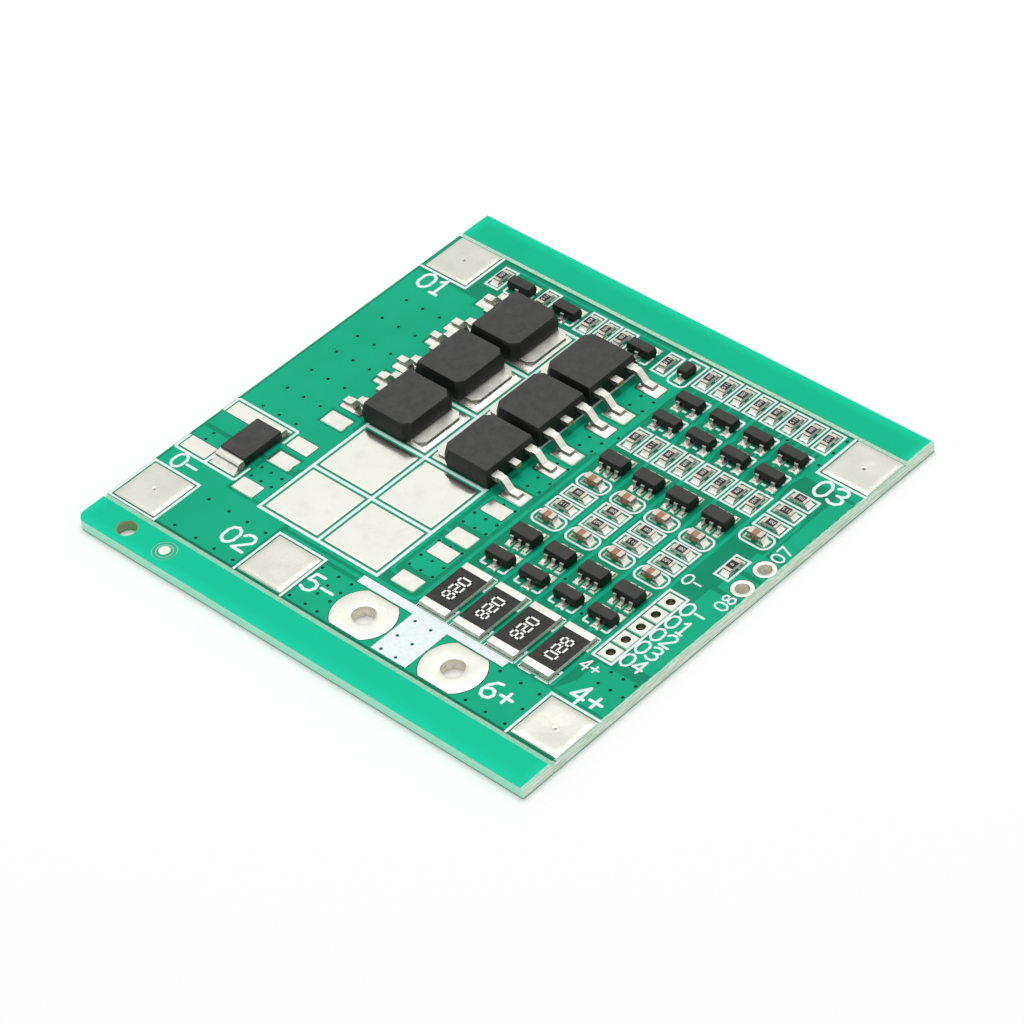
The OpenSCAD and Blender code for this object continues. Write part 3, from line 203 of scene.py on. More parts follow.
# Vias under the mask, roughly from left to right, and those under the printed block
VIAS = tuple(
    [(x, y) for x in (-25.2, -23.0, -20.8) for y in (13.4, 10.0, 6.6, 3.7, 0.3, -3.0, -6.25)]
    + [(-26.1, -11.9), (-26.1, -12.95)]
    + [(x, -12.55) for x in (-19.0, -17.75, -16.35)]
    + [(x, -13.95) for x in (-19.0, -17.7, -16.35)]
    + [(x, -18.7) for x in (-19.75, -17.1, -14.7, -12.3)]
    + [(x, -23.1) for x in (-19.75, -16.95, -14.55, -12.1)]
    + [(-4.9, -18.8), (-2.85, -18.8), (-1.25, -18.8)]
    + [(-2.85, -20.2), (-1.25, -20.2), (-2.85, -21.5), (-1.25, -21.55)]
    + [(-4.7, -23.2), (-2.8, -23.15), (-1.25, -23.2)]
    + [(9.9, y) for y in (-18.75, -20.9, -23.2)]
    + [(x, -18.65) for x in (16.8, 19.25, 21.45)]
    + [(21.5, -20.9)]
    + [(x, -23.15) for x in (16.85, 19.2, 21.5)]
    + [(x, y) for y in (16.5, 14.9) for x in (2.35, 3.9)]
    + [(x, y) for y in (9.2, 7.8) for x in (2.4, 3.9)]
    + [(2.5, 4.6), (3.85, 4.6)]
    + [(x, y) for y in (2.1, 0.65, -2.6) for x in (2.4, 3.85)]
    + [(x, y) for x in (1.0, 2.4, 3.8) for y in (-5.0, -6.5)]
    + [(x, y) for x in (1.0, 2.4, 3.85) for y in (-9.7, -12.1, -13.6)]
    + [(4.65, 10.7), (13.45, -6.45), (17.6, -8.9)]
    + [(x, y) for x in (24.55, 25.95, 27.4) for y in (-12.8, -14.5)]
    + [(21.7, 23.15), (21.7, 21.15), (21.7, 19.05), (17.2, 19.95)]
)
PRINTED_VIAS = (
    (6.57, -18.7), (6.6, -21.0), (6.6, -23.1), (8.48, -18.7), (8.4, -21.0), (8.4, -23.1),
)
# Radius and height over the surface, from the foot of a via's rim to its hollow
VIA_RIM = ((0.30, 0.001), (0.25, 0.010), (0.20, 0.007), (0.17, 0.003))

# Printed values: width, height, stroke and pitch of the digits, and where they are centred
BIG_DIGIT, BIG_PITCH, BIG_VALUE = (0.9, 1.38, 0.2), 1.03, "820"
BIG_MIDDLE, BIG_SHIFT = (0.43, 0.68), 0.04
TURNED_BIG_RESISTOR = 3
SMALL_DIGIT, SMALL_PITCH = (0.2, 0.38, 0.05), 0.27
SMALL_MIDDLE, SMALL_SHIFT = 0.19, 0.03
SMALL_VALUES = ("103", "511", "102", "204")
INK_SINK, BIG_INK, SMALL_INK = 0.002, 0.008, 0.006

# The copper face of a cut lead: how far it reaches in and out, and its margin
CUT_IN, CUT_OUT, CUT_MARGIN = 0.01, 0.012, 0.05

# Studio, in metres
FLOOR_HALF, FLOOR_Z = 1.5, -0.00002
KEY_LIGHT_AT, KEY_LIGHT_SIZE, KEY_LIGHT_POWER = (-0.14, 0.16, 0.72), (0.4, 0.4), 2.0
WORLD_LIGHT = 0.72

# Camera, solved from the panel's corners in the photograph. Its place is in millimetres, and
# its near limit in metres
CAMERA_AT = (199.607, -187.739, 243.653)
CAMERA_RIGHT = (0.73397, 0.67461, -0.07868)
CAMERA_UP = (-0.41113, 0.53351, 0.73915)
CAMERA_BACK = (0.54062, -0.51016, 0.66893)
CAMERA_SENSOR, CAMERA_LENS, CAMERA_CLIP = 36.0, 140.2, 0.01


# Shader building

def linear(r, g, b):
    """A colour given in 0 to 255 as it looks on screen, as the shader wants it."""
    out = []
    for c in (r, g, b):
        c /= 255
        out.append(c / 12.92 if c <= 0.04045 else ((c + 0.055) / 1.055) ** 2.4)
    return tuple(out) + (1.0,)


def scaled(colour, factor):
    """A colour made darker or lighter by a factor."""
    return tuple(min(1.0, c * factor) for c in colour[:3]) + (1.0,)


class Shader:
    """A material with one Principled shader, and short calls for the nodes that feed it."""

    def __init__(self, name, colour, roughness, metallic=0.0, specular=0.5):
        self.material = bpy.data.materials.new(name)
        self.material.use_nodes = True
        self.tree = self.material.node_tree
        self.bsdf = self.tree.nodes["Principled BSDF"]
        self.put("Base Color", colour)
        self.put("Roughness", roughness)
        self.put("Metallic", metallic)
        self.put("Specular IOR Level", specular)
        self.position = self.millimetres()

    def wire(self, value, socket):
        """Links a node's output to a socket, or sets the socket to a plain value."""
        if isinstance(value, bpy.types.NodeSocket):
            self.tree.links.new(value, socket)
        else:
            socket.default_value = value

    def put(self, name, value):
        self.wire(value, self.bsdf.inputs[name])

    def millimetres(self):
        """The place on the board, in millimetres."""
        coords = self.tree.nodes.new("ShaderNodeTexCoord")
        scale = self.tree.nodes.new("ShaderNodeVectorMath")
        scale.operation = "SCALE"
        self.wire(coords.outputs["Object"], scale.inputs[0])
        scale.inputs["Scale"].default_value = 1 / MM
        return scale.outputs[0]

    def split(self, vector):
        node = self.tree.nodes.new("ShaderNodeSeparateXYZ")
        self.wire(vector, node.inputs[0])
        return node.outputs

    def xyz(self):
        return self.split(self.position)

    def normal(self):
        """The surface normal's three components."""
        geometry = self.tree.nodes.new("ShaderNodeNewGeometry")
        return self.split(geometry.outputs["Normal"])

    def math(self, operation, a, b=0.0):
        node = self.tree.nodes.new("ShaderNodeMath")
        node.operation = operation
        self.wire(a, node.inputs[0])
        self.wire(b, node.inputs[1])
        return node.outputs[0]

    def from_line(self, value, line):
        """Distance of a value from a line."""
        return self.math("ABSOLUTE", self.math("SUBTRACT", value, line))

    def from_point(self, x, y, point):
        """Distance on the board from a point."""
        squares = [self.math("POWER", self.math("SUBTRACT", v, p), 2.0)
                   for v, p in zip((x, y), point)]
        return self.math("SQRT", self.math("ADD", *squares))

    def ramp(self, value, low, high, out_low=0.0, out_high=1.0, smooth=True):
        node = self.tree.nodes.new("ShaderNodeMapRange")
        node.interpolation_type = "SMOOTHSTEP" if smooth else "LINEAR"
        sockets = {"Value": value, "From Min": low, "From Max": high,
                   "To Min": out_low, "To Max": out_high}
        for name, v in sockets.items():
            self.wire(v, node.inputs[name])
        return node.outputs[0]

    def noise(self, scale, detail=2.0, roughness=0.5, stretch=(1, 1, 1)):
        node = self.tree.nodes.new("ShaderNodeTexNoise")
        vector = self.position
        if stretch != (1, 1, 1):
            by = self.tree.nodes.new("ShaderNodeVectorMath")
            by.operation = "MULTIPLY"
            self.wire(vector, by.inputs[0])
            by.inputs[1].default_value = stretch
            vector = by.outputs[0]
        self.wire(vector, node.inputs["Vector"])
        node.inputs["Scale"].default_value = scale
        node.inputs["Detail"].default_value = detail
        node.inputs["Roughness"].default_value = roughness
        return node.outputs["Fac"]

    def dots(self, scale):
        """Distance from the nearest of many scattered points."""
        node = self.tree.nodes.new("ShaderNodeTexVoronoi")
        self.wire(self.position, node.inputs["Vector"])
        node.inputs["Scale"].default_value = scale
        return node.outputs["Distance"]

    def mix(self, factor, a, b):
        node = self.tree.nodes.new("ShaderNodeMix")
        node.data_type = "RGBA"
        self.wire(factor, node.inputs[0])
        self.wire(a, node.inputs[6])
        self.wire(b, node.inputs[7])
        return node.outputs[2]

    def bump(self, height, depth_mm):
        node = self.tree.nodes.new("ShaderNodeBump")
        node.inputs["Distance"].default_value = depth_mm * MM
        self.wire(height, node.inputs["Height"])
        self.put("Normal", node.outputs[0])


# Materials

def mask_material():
    """Green mask: paler over copper, brighter in the bare rails, with painted light glowing
    through the board along their outer edges.
    """
    s = Shader("solder_mask_green", linear(24, 150, 112), 0.34, specular=0.09)
    x, y, z = s.xyz()
    over_copper = s.ramp(z, *Z_OVER_COPPER, smooth=False)
    board = s.mix(over_copper, linear(4, 135, 98), linear(8, 168, 126))
    # Painted light: the front rail grows brighter towards the near corner, as if lit through the
    # board. The back rail is darker
    along = s.ramp(x, -HALF_PANEL, HALF_PANEL, smooth=False)
    rail = s.mix(along, linear(0, 194, 150), linear(0, 198, 152))
    rail = s.mix(s.ramp(y, 0.0, 1.0, smooth=False), rail, linear(0, 184, 138))
    in_rail = s.ramp(s.math("ABSOLUTE", y), RAIL_FROM, RAIL_FULL, smooth=False)
    colour = s.mix(in_rail, board, rail)
    # Painted light: the rails turn brighter within 1.5 mm of the panel's outer edges, standing in
    # for light glowing through the board
    inwards = [s.math("SUBTRACT", HALF_PANEL, s.math("ABSOLUTE", v)) for v in (x, y)]
    edge = s.math("MINIMUM", *inwards)
    painted_edge_glow = s.math("MULTIPLY", s.ramp(edge, 0.0, 1.5, 0.6, 0.0), in_rail)
    colour = s.mix(painted_edge_glow, colour, linear(14, 216, 172))
    cloud = s.ramp(s.noise(0.16, 3.0), 0.35, 0.65, 0.0, 0.12)
    colour = s.mix(cloud, colour, linear(10, 200, 156))
    # The cut on the right is frayed: pale streaks reach in from the edge
    streaks = s.noise(1.0, 4.0, 0.7, stretch=(6.0, 1.6, 1.0))
    reach = s.ramp(streaks, 0.3, 0.7, 0.24, 0.46, smooth=False)
    from_right = s.math("SUBTRACT", HALF_PANEL, x)
    fray = s.ramp(from_right, reach, s.math("MULTIPLY", reach, 0.7), 0.0, 0.9)
    pale = s.mix(s.ramp(streaks, 0.4, 0.6), linear(208, 236, 222), linear(160, 214, 190))
    colour = s.mix(fray, colour, pale)
    # A dark line runs along each groove, on the board's side
    from_groove = s.from_line(s.math("ABSOLUTE", y), GROOVE_SIDE_Y)
    colour = s.mix(s.ramp(from_groove, 0.07, 0.12, 0.8, 0.0), colour, linear(0, 100, 76))
    s.put("Base Color", colour)
    s.put("Roughness", s.ramp(s.noise(0.5, 3.0), 0.3, 0.7, 0.34, 0.44))
    s.bump(s.noise(2.2, 3.0), 0.004)
    return s.material


def laminate_material():
    """Glass-fibre board: layered cut faces, pale grooves, and a green coat on the underside."""
    s = Shader("glass_fibre_board", linear(222, 240, 226), 0.5, specular=0.35)
    x, y, z = s.xyz()
    normal_x, normal_y, normal_z = s.normal()
    layers = s.noise(1.0, 4.0, 0.7, stretch=(0.4, 0.4, 7.0))
    colour = s.mix(s.ramp(layers, 0.4, 0.6), linear(184, 208, 188), linear(240, 246, 238))
    flecks = s.ramp(s.noise(4.0, 3.0, 0.7), 0.60, 0.74, 0.0, 0.3)
    colour = s.mix(flecks, colour, linear(176, 206, 182))
    # All cut faces but the right one are greener, and a dark line of coat runs along the foot
    greener = s.ramp(normal_x, 0.2, 0.6, 0.8, 0.0)
    colour = s.mix(greener, colour, linear(158, 240, 212))
    foot_line = s.ramp(z, 0.10, 0.16, 0.85, 0.0)
    colour = s.mix(foot_line, colour, linear(70, 150, 118))
    # The slopes of the grooves are pale, and greener where they face the panel's edge
    fibres = s.noise(2.0, 4.0, 0.7, stretch=(3.0, 1.0, 1.0))
    groove = s.mix(s.ramp(fibres, 0.35, 0.65), linear(198, 232, 215), linear(232, 248, 240))
    outer = s.ramp(s.math("MULTIPLY", normal_y, s.math("SIGN", y)), -0.2, 0.2, 0.0, 0.7)
    groove = s.mix(outer, groove, linear(160, 216, 194))
    up = s.ramp(normal_z, 0.3, 0.5, smooth=False)
    colour = s.mix(up, colour, groove)
    # Painted shade darkens the wall of the tooling hole
    from_hole = s.from_point(x, y, TOOLING_HOLE)
    colour = s.mix(s.ramp(from_hole, *TOOLING_WALL_SHADE, 0.8, 0.0), colour, linear(122, 162, 104))
    # Bare rings round the fiducial dot
    away = s.from_point(x, y, FIDUCIAL)
    ring = s.math("MINIMUM", *[s.from_line(away, radius) for radius in FIDUCIAL_RINGS])
    rings = s.mix(s.ramp(ring, 0.02, 0.08), linear(136, 214, 184), linear(24, 170, 132))
    colour = s.mix(s.ramp(away, *FIDUCIAL_CLEAR, 1.0, 0.0, smooth=False), colour, rings)
    down = s.ramp(normal_z, -0.6, -0.9, smooth=False)
    colour = s.mix(down, colour, linear(8, 150, 112))
    s.put("Base Color", colour)
    s.bump(s.noise(3.0, 4.0, 0.7, stretch=(1.0, 1.0, 4.0)), 0.02)
    return s.material


def metal_material(name, colour, roughness, spread=0.08, grain=3.0, depth=0.002, tint=None,
                   metallic=1.0, steep_shade=None):
    """Tinned or bare metal with patchy gloss and a slight waviness, with painted shade making it
    darker where it is steep.
    """
    s = Shader(name, colour, roughness, metallic=metallic)
    patches = s.noise(grain * 0.3, 3.0, 0.6)
    s.put("Roughness", s.ramp(patches, 0.3, 0.7, roughness - spread, roughness + spread))
    stains = s.ramp(s.noise(grain * 0.6, 4.0, 0.6), 0.4, 0.75, 0.0, 0.8)
    body = s.mix(stains, colour, tint or scaled(colour, 0.86))
    # Painted shade: steep faces take a darker colour, streaked with runs
    if steep_shade:
        runs = s.ramp(s.noise(grain * 0.8, 4.0, 0.7, stretch=(1, 1, 2.5)), 0.35, 0.7)
        side = s.mix(0.5, s.mix(runs, steep_shade, colour), steep_shade)
        body = s.mix(s.ramp(s.normal()[2], 0.05, 0.6), side, body)
    s.put("Base Color", body)
    s.bump(s.noise(grain, 3.0), depth)
    return s.material


def moulding_material(name, colour, roughness, grain=14.0):
    """Charcoal moulding compound: pebbled and faintly mottled, with painted shade darkening its
    sides, and pale specks.
    """
    s = Shader(name, colour, roughness, specular=0.3)
    body = s.mix(s.ramp(s.noise(0.9, 4.0, 0.6), 0.3, 0.7), colour, scaled(colour, 1.35))
    # Painted shade: the sides are darkened towards about a quarter of the top's colour
    body = s.mix(s.ramp(s.normal()[2], 0.3, 0.8), scaled(colour, 0.26), body)
    specks = s.ramp(s.dots(2.6), 0.05, 0.03, 0.0, 0.35)
    s.put("Base Color", s.mix(specks, body, linear(150, 150, 146)))
    patches = s.noise(2.0, 3.0)
    s.put("Roughness", s.ramp(patches, 0.3, 0.7, roughness - 0.06, roughness + 0.08))
    s.bump(s.noise(grain, 2.0, 0.6), 0.006)
    return s.material


def mottled_material(name, colour, other, spots, grain, depth, roughness, specular):
    """Ceramic, glaze or ink with soft spots of another tone: spots is their scale, detail,
    roughness, lower and upper threshold and strength."""
    s = Shader(name, colour, roughness, specular=specular)
    scale, detail, rough, low, high, strength = spots
    factor = s.ramp(s.noise(scale, detail, rough), low, high, 0.0, strength)
    s.put("Base Color", s.mix(factor, colour, other))
    s.bump(s.noise(*grain), depth)
    return s.material


def ceramic_material(name, colour, dark):
    return mottled_material(name, colour, dark, (3.5, 4.0, 0.65, 0.35, 0.7, 1.0), (16.0, 2.0),
                            0.003, 0.42, 0.5)


def ink_material(name, colour, specular=0.35):
    return mottled_material(name, colour, scaled(colour, 0.86), (2.4, 4.0, 0.7, 0.42, 0.75, 0.7),
                            (9.0, 2.0), 0.003, 0.5, specular)


MASK = mask_material()
LAMINATE = laminate_material()
# The copper foil's rim, seen in the gap round each land, is coloured nearly black: painted shade
# for the thin shadow lines there
FOIL_RIM_SHADE = metal_material("coated_foil_rim", linear(3, 58, 46), 0.4, metallic=0.0)
INK = ink_material("legend_white", linear(236, 246, 246))
LAND = metal_material("tinned_land", linear(242, 242, 235), 0.16, 0.04, 0.8, 0.003,
                      tint=linear(230, 229, 221))
PAD = metal_material("tinned_pad", linear(214, 214, 205), 0.28, 0.05, 1.4, 0.008,
                     tint=linear(202, 201, 192))
TIN = metal_material("tin_coat", linear(222, 222, 213), 0.34, 0.06, 1.6, 0.005,
                     tint=linear(206, 205, 196))
LEAD = metal_material("tinned_lead", linear(232, 231, 224), 0.34, 0.08, 2.5, 0.008,
                      tint=linear(198, 195, 186), metallic=0.7, steep_shade=linear(104, 102, 93))
SOLDER = metal_material("solder", linear(240, 239, 232), 0.24, 0.08, 3.0, 0.012,
                        tint=linear(204, 202, 194), metallic=0.8, steep_shade=linear(160, 158, 150))
TERMINAL = metal_material("chip_terminal", linear(208, 200, 190), 0.34, 0.08, 5.0, 0.012,
                          tint=linear(176, 164, 152), metallic=0.8, steep_shade=linear(116, 108, 98))
BIG_TERMINAL = metal_material("resistor_terminal", linear(240, 239, 233), 0.34, 0.08, 2.0, 0.010,
                              tint=linear(214, 212, 204), metallic=0.6,
                              steep_shade=linear(176, 173, 162))
BARREL = metal_material("hole_wall", linear(232, 228, 216), 0.3, 0.08, 3.0, 0.01,
                        tint=linear(196, 188, 170), metallic=0.4)
# Painted shade: the header holes' walls are darkened as if shaded inside the board
HEADER_WALL_SHADE = metal_material("header_wall", linear(150, 144, 124), 0.3, 0.08, 3.0, 0.01,
                           tint=linear(92, 86, 68))
# Painted shade for the pit at the bottom of each pad's dimple
DIMPLE_SHADE = metal_material("probe_mark", linear(120, 116, 104), 0.5, metallic=0.3)
COPPER_CUT = metal_material("bare_copper_cut", linear(214, 150, 100), 0.35, 0.06, 6.0, 0.01,
                            metallic=0.8)
MOULDING = moulding_material("transistor_moulding", linear(50, 50, 47), 0.52)
MOULDING_SMALL = moulding_material("chip_moulding", linear(42, 43, 40), 0.48, 20.0)
CERAMIC = ceramic_material("alumina_ceramic", linear(206, 210, 204), linear(178, 182, 176))
CAP_CERAMIC = ceramic_material("capacitor_ceramic", linear(182, 130, 92), linear(146, 100, 70))
GLAZE = mottled_material("resistor_glaze", linear(32, 32, 31), linear(46, 46, 43),
                         (2.0, 3.0, 0.5, 0.35, 0.7, 1.0), (6.0, 3.0), 0.004, 0.4, 0.25)
MARKING = ink_material("marking_white", linear(244, 244, 240))
VIA_HOLLOW = ink_material("via_hollow", linear(0, 44, 36), 0.02)
PRINTED_HOLLOW = ink_material("printed_via", linear(36, 100, 96), 0.02)

MATERIAL_NODES = (
    (LAMINATE, ["laminate"]),
    (FOIL_RIM_SHADE, ["copper_foil"]),
    (MASK, ["solder_mask"]),
    (INK, ["legend_ink"]),
    (PAD, list(PADS)),
    (LAND, ["output_land_negative", "output_land_positive", "balance_header_lands",
            "sensor_lands", "transistor_lands", "component_lands"]),
    (MOULDING, ["sense_resistor_body"] + [f"transistor_body_{i}" for i in range(1, 7)]),
    (MOULDING_SMALL, [f"{row}_chip_body_{i}" for row in ("upper", "lower") for i in range(1, 5)]
     + ["driver_transistor_bodies", "bleed_transistor_bodies", "level_transistor_bodies",
        "diode_body"]),
    (LEAD, [f"transistor_leadframe_{i}" for i in range(1, 7)]
     + ["sense_resistor_terminals", "upper_chip_leads", "lower_chip_leads",
        "driver_transistor_leads", "bleed_transistor_leads", "level_transistor_leads",
        "diode_leads"]),
    (BIG_TERMINAL, ["balance_resistor_terminals"]),
    (TERMINAL, ["chip_resistor_terminals", "chip_capacitor_terminals"]),
    (GLAZE, ["balance_resistor_coats", "chip_resistor_coats"]),
    (CERAMIC, [f"balance_resistor_body_{i}" for i in range(1, 5)] + ["chip_resistor_bodies"]),
    (CAP_CERAMIC, ["chip_capacitor_bodies"]),
)
NODE_MATERIALS = {name: material for material, names in MATERIAL_NODES for name in names}


# Finishing of the CAD solids: angles in degrees, welds and bevels in millimetres

SMOOTH_UP_TO = 32
BEVEL_FROM = 35
WELD = 0.0008
BEVELS = {"sense_resistor_body": 0.05, "diode_body": 0.03, "balance_resistor_terminals": 0.02}
for i in range(1, 7):
    BEVELS[f"transistor_body_{i}"] = 0.05


def smoothing_group():
    """Geometry nodes that shade smooth, except across edges sharper than the angle."""
    group = bpy.data.node_groups.new(f"smooth_{SMOOTH_UP_TO}", "GeometryNodeTree")
    for direction in ("INPUT", "OUTPUT"):
        group.interface.new_socket("Geometry", in_out=direction,
                                   socket_type="NodeSocketGeometry")
    start = group.nodes.new("NodeGroupInput")
    end = group.nodes.new("NodeGroupOutput")
    faces = group.nodes.new("GeometryNodeSetShadeSmooth")
    faces.domain = "FACE"
    edges = group.nodes.new("GeometryNodeSetShadeSmooth")
    edges.domain = "EDGE"
    edges.inputs["Shade Smooth"].default_value = False
    angle = group.nodes.new("GeometryNodeInputMeshEdgeAngle")
    sharp = group.nodes.new("FunctionNodeCompare")
    sharp.data_type = "FLOAT"
    sharp.operation = "GREATER_THAN"
    sharp.inputs[1].default_value = math.radians(SMOOTH_UP_TO)
    link = group.links.new
    link(start.outputs[0], faces.inputs["Geometry"])
    link(faces.outputs[0], edges.inputs["Geometry"])
    link(angle.outputs["Unsigned Angle"], sharp.inputs[0])
    link(sharp.outputs[0], edges.inputs["Selection"])
    link(edges.outputs[0], end.inputs[0])
    return group


SMOOTH = smoothing_group()


def smooth(obj):
    modifier = obj.modifiers.new("smooth", "NODES")
    modifier.node_group = SMOOTH


def finish_node(name):
    """Gives a CAD node its material, soft edges where it has a bevel, and smooth shading."""
    obj = nodes[name]
    obj.data.materials.clear()
    obj.data.materials.append(NODE_MATERIALS[name])
    weld = obj.modifiers.new("weld", "WELD")
    weld.merge_threshold = WELD * MM
    if name in BEVELS:
        bevel = obj.modifiers.new("bevel", "BEVEL")
        bevel.width = BEVELS[name] * MM
        bevel.segments = 2
        bevel.limit_method = "ANGLE"
        bevel.angle_limit = math.radians(BEVEL_FROM)
    smooth(obj)


for name in nodes:
    finish_node(name)


# Piece building

class Shape:
    """Points in millimetres and faces, gathered before they become one piece."""

    def __init__(self):
        self.points = []
        self.faces = []
        self.slots = []

    def add_faces(self, base, faces, slot):
        for face in faces:
            self.faces.append([base + i for i in face])
            self.slots.append(slot)

    def add(self, points, faces, slot=0):
        """Adds a part whose faces count from its own first point. Returns that point's number."""
        base = len(self.points)
        self.points.extend(points)
        self.add_faces(base, faces, slot)
        return base

    def piece(self, name, materials, rounded=True):
        mesh = bpy.data.meshes.new(name)
        mesh.from_pydata([(x * MM, y * MM, z * MM) for x, y, z in self.points], [], self.faces)
        for material in materials:
            mesh.materials.append(material)
        for polygon, index in zip(mesh.polygons, self.slots):
            polygon.material_index = index
        mesh.validate()
        obj = bpy.data.objects.new(name, mesh)
        bpy.context.scene.collection.objects.link(obj)
        if rounded:
            smooth(obj)
        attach(obj, "root")


def turned(at, turn):
    """Turns local points by an angle in degrees and moves them to a place on the board."""
    c, s = math.cos(math.radians(turn)), math.sin(math.radians(turn))
    return lambda x, y: (at[0] + c * x - s * y, at[1] + s * x + c * y)


def steps(low, high, count):
    return [low + (high - low) * i / count for i in range(count + 1)]


def sheet_solid(shape, place, xs, ys, height, bottom):
    """A closed solid over a grid: its top follows height(x, y), its bottom is flat."""
    nx, ny = len(xs), len(ys)
    points = [(*place(x, y), height(x, y)) for y in ys for x in xs]
    faces = [
        [j * nx + i, j * nx + i + 1, (j + 1) * nx + i + 1, (j + 1) * nx + i]
        for j in range(ny - 1) for i in range(nx - 1)
    ]
    rim = list(range(nx)) + [j * nx + nx - 1 for j in range(1, ny)]
    rim += [(ny - 1) * nx + i for i in range(nx - 2, -1, -1)]
    rim += [j * nx for j in range(ny - 2, 0, -1)]
    base = len(points)
    points += [(points[i][0], points[i][1], bottom) for i in rim]
    n = len(rim)
    faces += [[rim[k], base + k, base + (k + 1) % n, rim[(k + 1) % n]] for k in range(n)]
    faces.append([base + k for k in range(n - 1, -1, -1)])
    shape.add(points, faces)


def ring_points(at, radius, z, count):
    """Points on a level circle; radius gives the distance at an angle."""
    points = []
    for k in range(count):
        a = 2 * math.pi * k / count
        r = radius(a)
        points.append((at[0] + r * math.cos(a), at[1] + r * math.sin(a), z))
    return points


def ring_solid(shape, at, inner, outline, profile):
    """A closed ring: outline(angle) gives its outer radius, profile the share of the way out
    and the height of each row. The underside and the wall of the hole take the second slot."""
    count = 96
    rows = [
        ring_points(at, lambda a, s=share: inner + (outline(a) - inner) * s, z, count)
        for share, z in profile
    ]
    rows += [[(px, py, BARREL_FOOT) for px, py, _ in row] for row in (rows[-1], rows[0])]
    n = len(rows)
    faces = [
        [i * count + k, (i + 1) % n * count + k,
         (i + 1) % n * count + (k + 1) % count, i * count + (k + 1) % count]
        for i in range(n) for k in range(count)
    ]
    base = shape.add([p for row in rows for p in row], faces[:-2 * count])
    shape.add_faces(base, faces[-2 * count:], 1)


def slope(v, low, high, half):
    """How far v lies past the foot on the way to the land's rim, as a share."""
    if v < low:
        return (low - v) / max(SHORTEST_SLOPE, low + half)
    if v > high:
        return (v - high) / max(SHORTEST_SLOPE, half - high)
    return 0.0


def mound(shape, at, turn, land, foot, rise, seed, cells=(9, 8)):
    """Solder on one land: at and turn place the land, foot is the metal that stands in it."""
    rng = random.Random(seed)
    rise *= rng.uniform(*RISE_SPREAD)
    skew = rng.uniform(-SKEW, SKEW)
    half = [side / 2 - LAND_MARGIN for side in land]

    def height(x, y):
        across = slope(x, foot[0], foot[1], half[0])
        along = slope(y, foot[2], foot[3], half[1])
        h = rise * (1 - min(1.0, math.hypot(across, along))) ** FILLET_CURVE
        return Z_LAND + TIN_LIFT + h * (1 + skew * y / half[1])

    def lines(axis):
        even = steps(-half[axis], half[axis], cells[axis])
        edges = list(foot[2 * axis:2 * axis + 2])
        return sorted({round(v, 4) for v in even + edges if abs(v) <= half[axis]})

    sheet_solid(shape, turned(at, turn), lines(0), lines(1), height, Z_LAND - TIN_SINK)


# Solder

def chip_solder():
    """Fillets at both ends of every small resistor and capacitor."""
    shape = Shape()
    end = CHIP_L / 2 - CHIP_LAND_OUT
    foot = (end - CHIP_CAP, end, -CHIP_W / 2, CHIP_W / 2)
    for k, (x, y, turn) in enumerate(RESISTORS + CAPACITORS):
        rise = RISES["resistor" if k < len(RESISTORS) else "capacitor"]
        for side in (0, 180):
            at = turned((x, y), turn + side)(CHIP_LAND_OUT, 0)
            mound(shape, at, turn + side, CHIP_LAND, foot, rise, seed=1000 + 7 * k + side)
    shape.piece("chip_solder", [SOLDER])


def lead_solder():
    """Fillets round the feet of the three-lead and six-lead parts."""
    shape = Shape()
    for k, (x, y, turn) in enumerate(SOT3):
        for j, (lx, side) in enumerate(((-SOT_PITCH, 180), (SOT_PITCH, 180), (0.0, 0))):
            at = turned((x, y), turn)(lx, -SOT3_LAND_OUT if side else SOT3_LAND_OUT)
            mound(shape, at, turn + side, SOT3_LAND, SOT3_FOOT, RISES["sot3"],
                  seed=2000 + 11 * k + j, cells=(8, 8))
    for k, (x, y) in enumerate(SOT6):
        for j, (lead, side) in enumerate([(s, t) for s in (-1, 0, 1) for t in (0, 180)]):
            at = (x + lead * SOT_PITCH, y + (-SOT6_LAND_OUT if side else SOT6_LAND_OUT))
            mound(shape, at, side, SOT6_LAND, SOT6_FOOT, RISES["sot6"],
                  seed=3000 + 13 * k + j, cells=(6, 8))
    shape.piece("lead_solder", [SOLDER])


def transistor_solder():
    """Solder at the transistors' two long leads and round their tabs."""
    shape = Shape()
    for k, (x, y, side) in enumerate(TRANSISTORS):
        column = 0 if side < 0 else 1
        row_y = min(DRAIN_YS, key=lambda v: abs(v - y))
        foot_end = (x + side * (BODY_L / 2 + LEAD_REACH) - LEAD_LAND_X[column]) * side
        for s in (-1, 1):
            at = (LEAD_LAND_X[column], row_y + s * LEAD_LAND_OUT)
            off = side * (y + s * LEAD_SPREAD / 2 - at[1])
            foot = (foot_end - LEAD_FOOT_L, foot_end, off - LEAD_W / 2, off + LEAD_W / 2)
            mound(shape, at, 0 if side > 0 else 180, LEAD_LAND, foot, RISES["lead"],
                  seed=4000 + 17 * k + s, cells=(16, 12))
        tab_start = BODY_L / 2 - side * (x - DRAIN_X[column]) - TAB_UNDER
        tab_end = side * (DRAIN_X[column] - x) + BODY_L / 2 + TAB_L
        off = -side * (y - row_y)
        tab_end = min(tab_end, DRAIN_L / 2 - TAB_INSET)
        foot = (tab_start, tab_end, off - TAB_W / 2, off + TAB_W / 2)
        mound(shape, (DRAIN_X[column], row_y), 180 if side > 0 else 0,
              (DRAIN_L - DRAIN_MARGIN, DRAIN_W - DRAIN_MARGIN), foot, RISES["tab"],
              seed=4500 + k, cells=(40, 30))
    shape.piece("transistor_solder", [SOLDER])


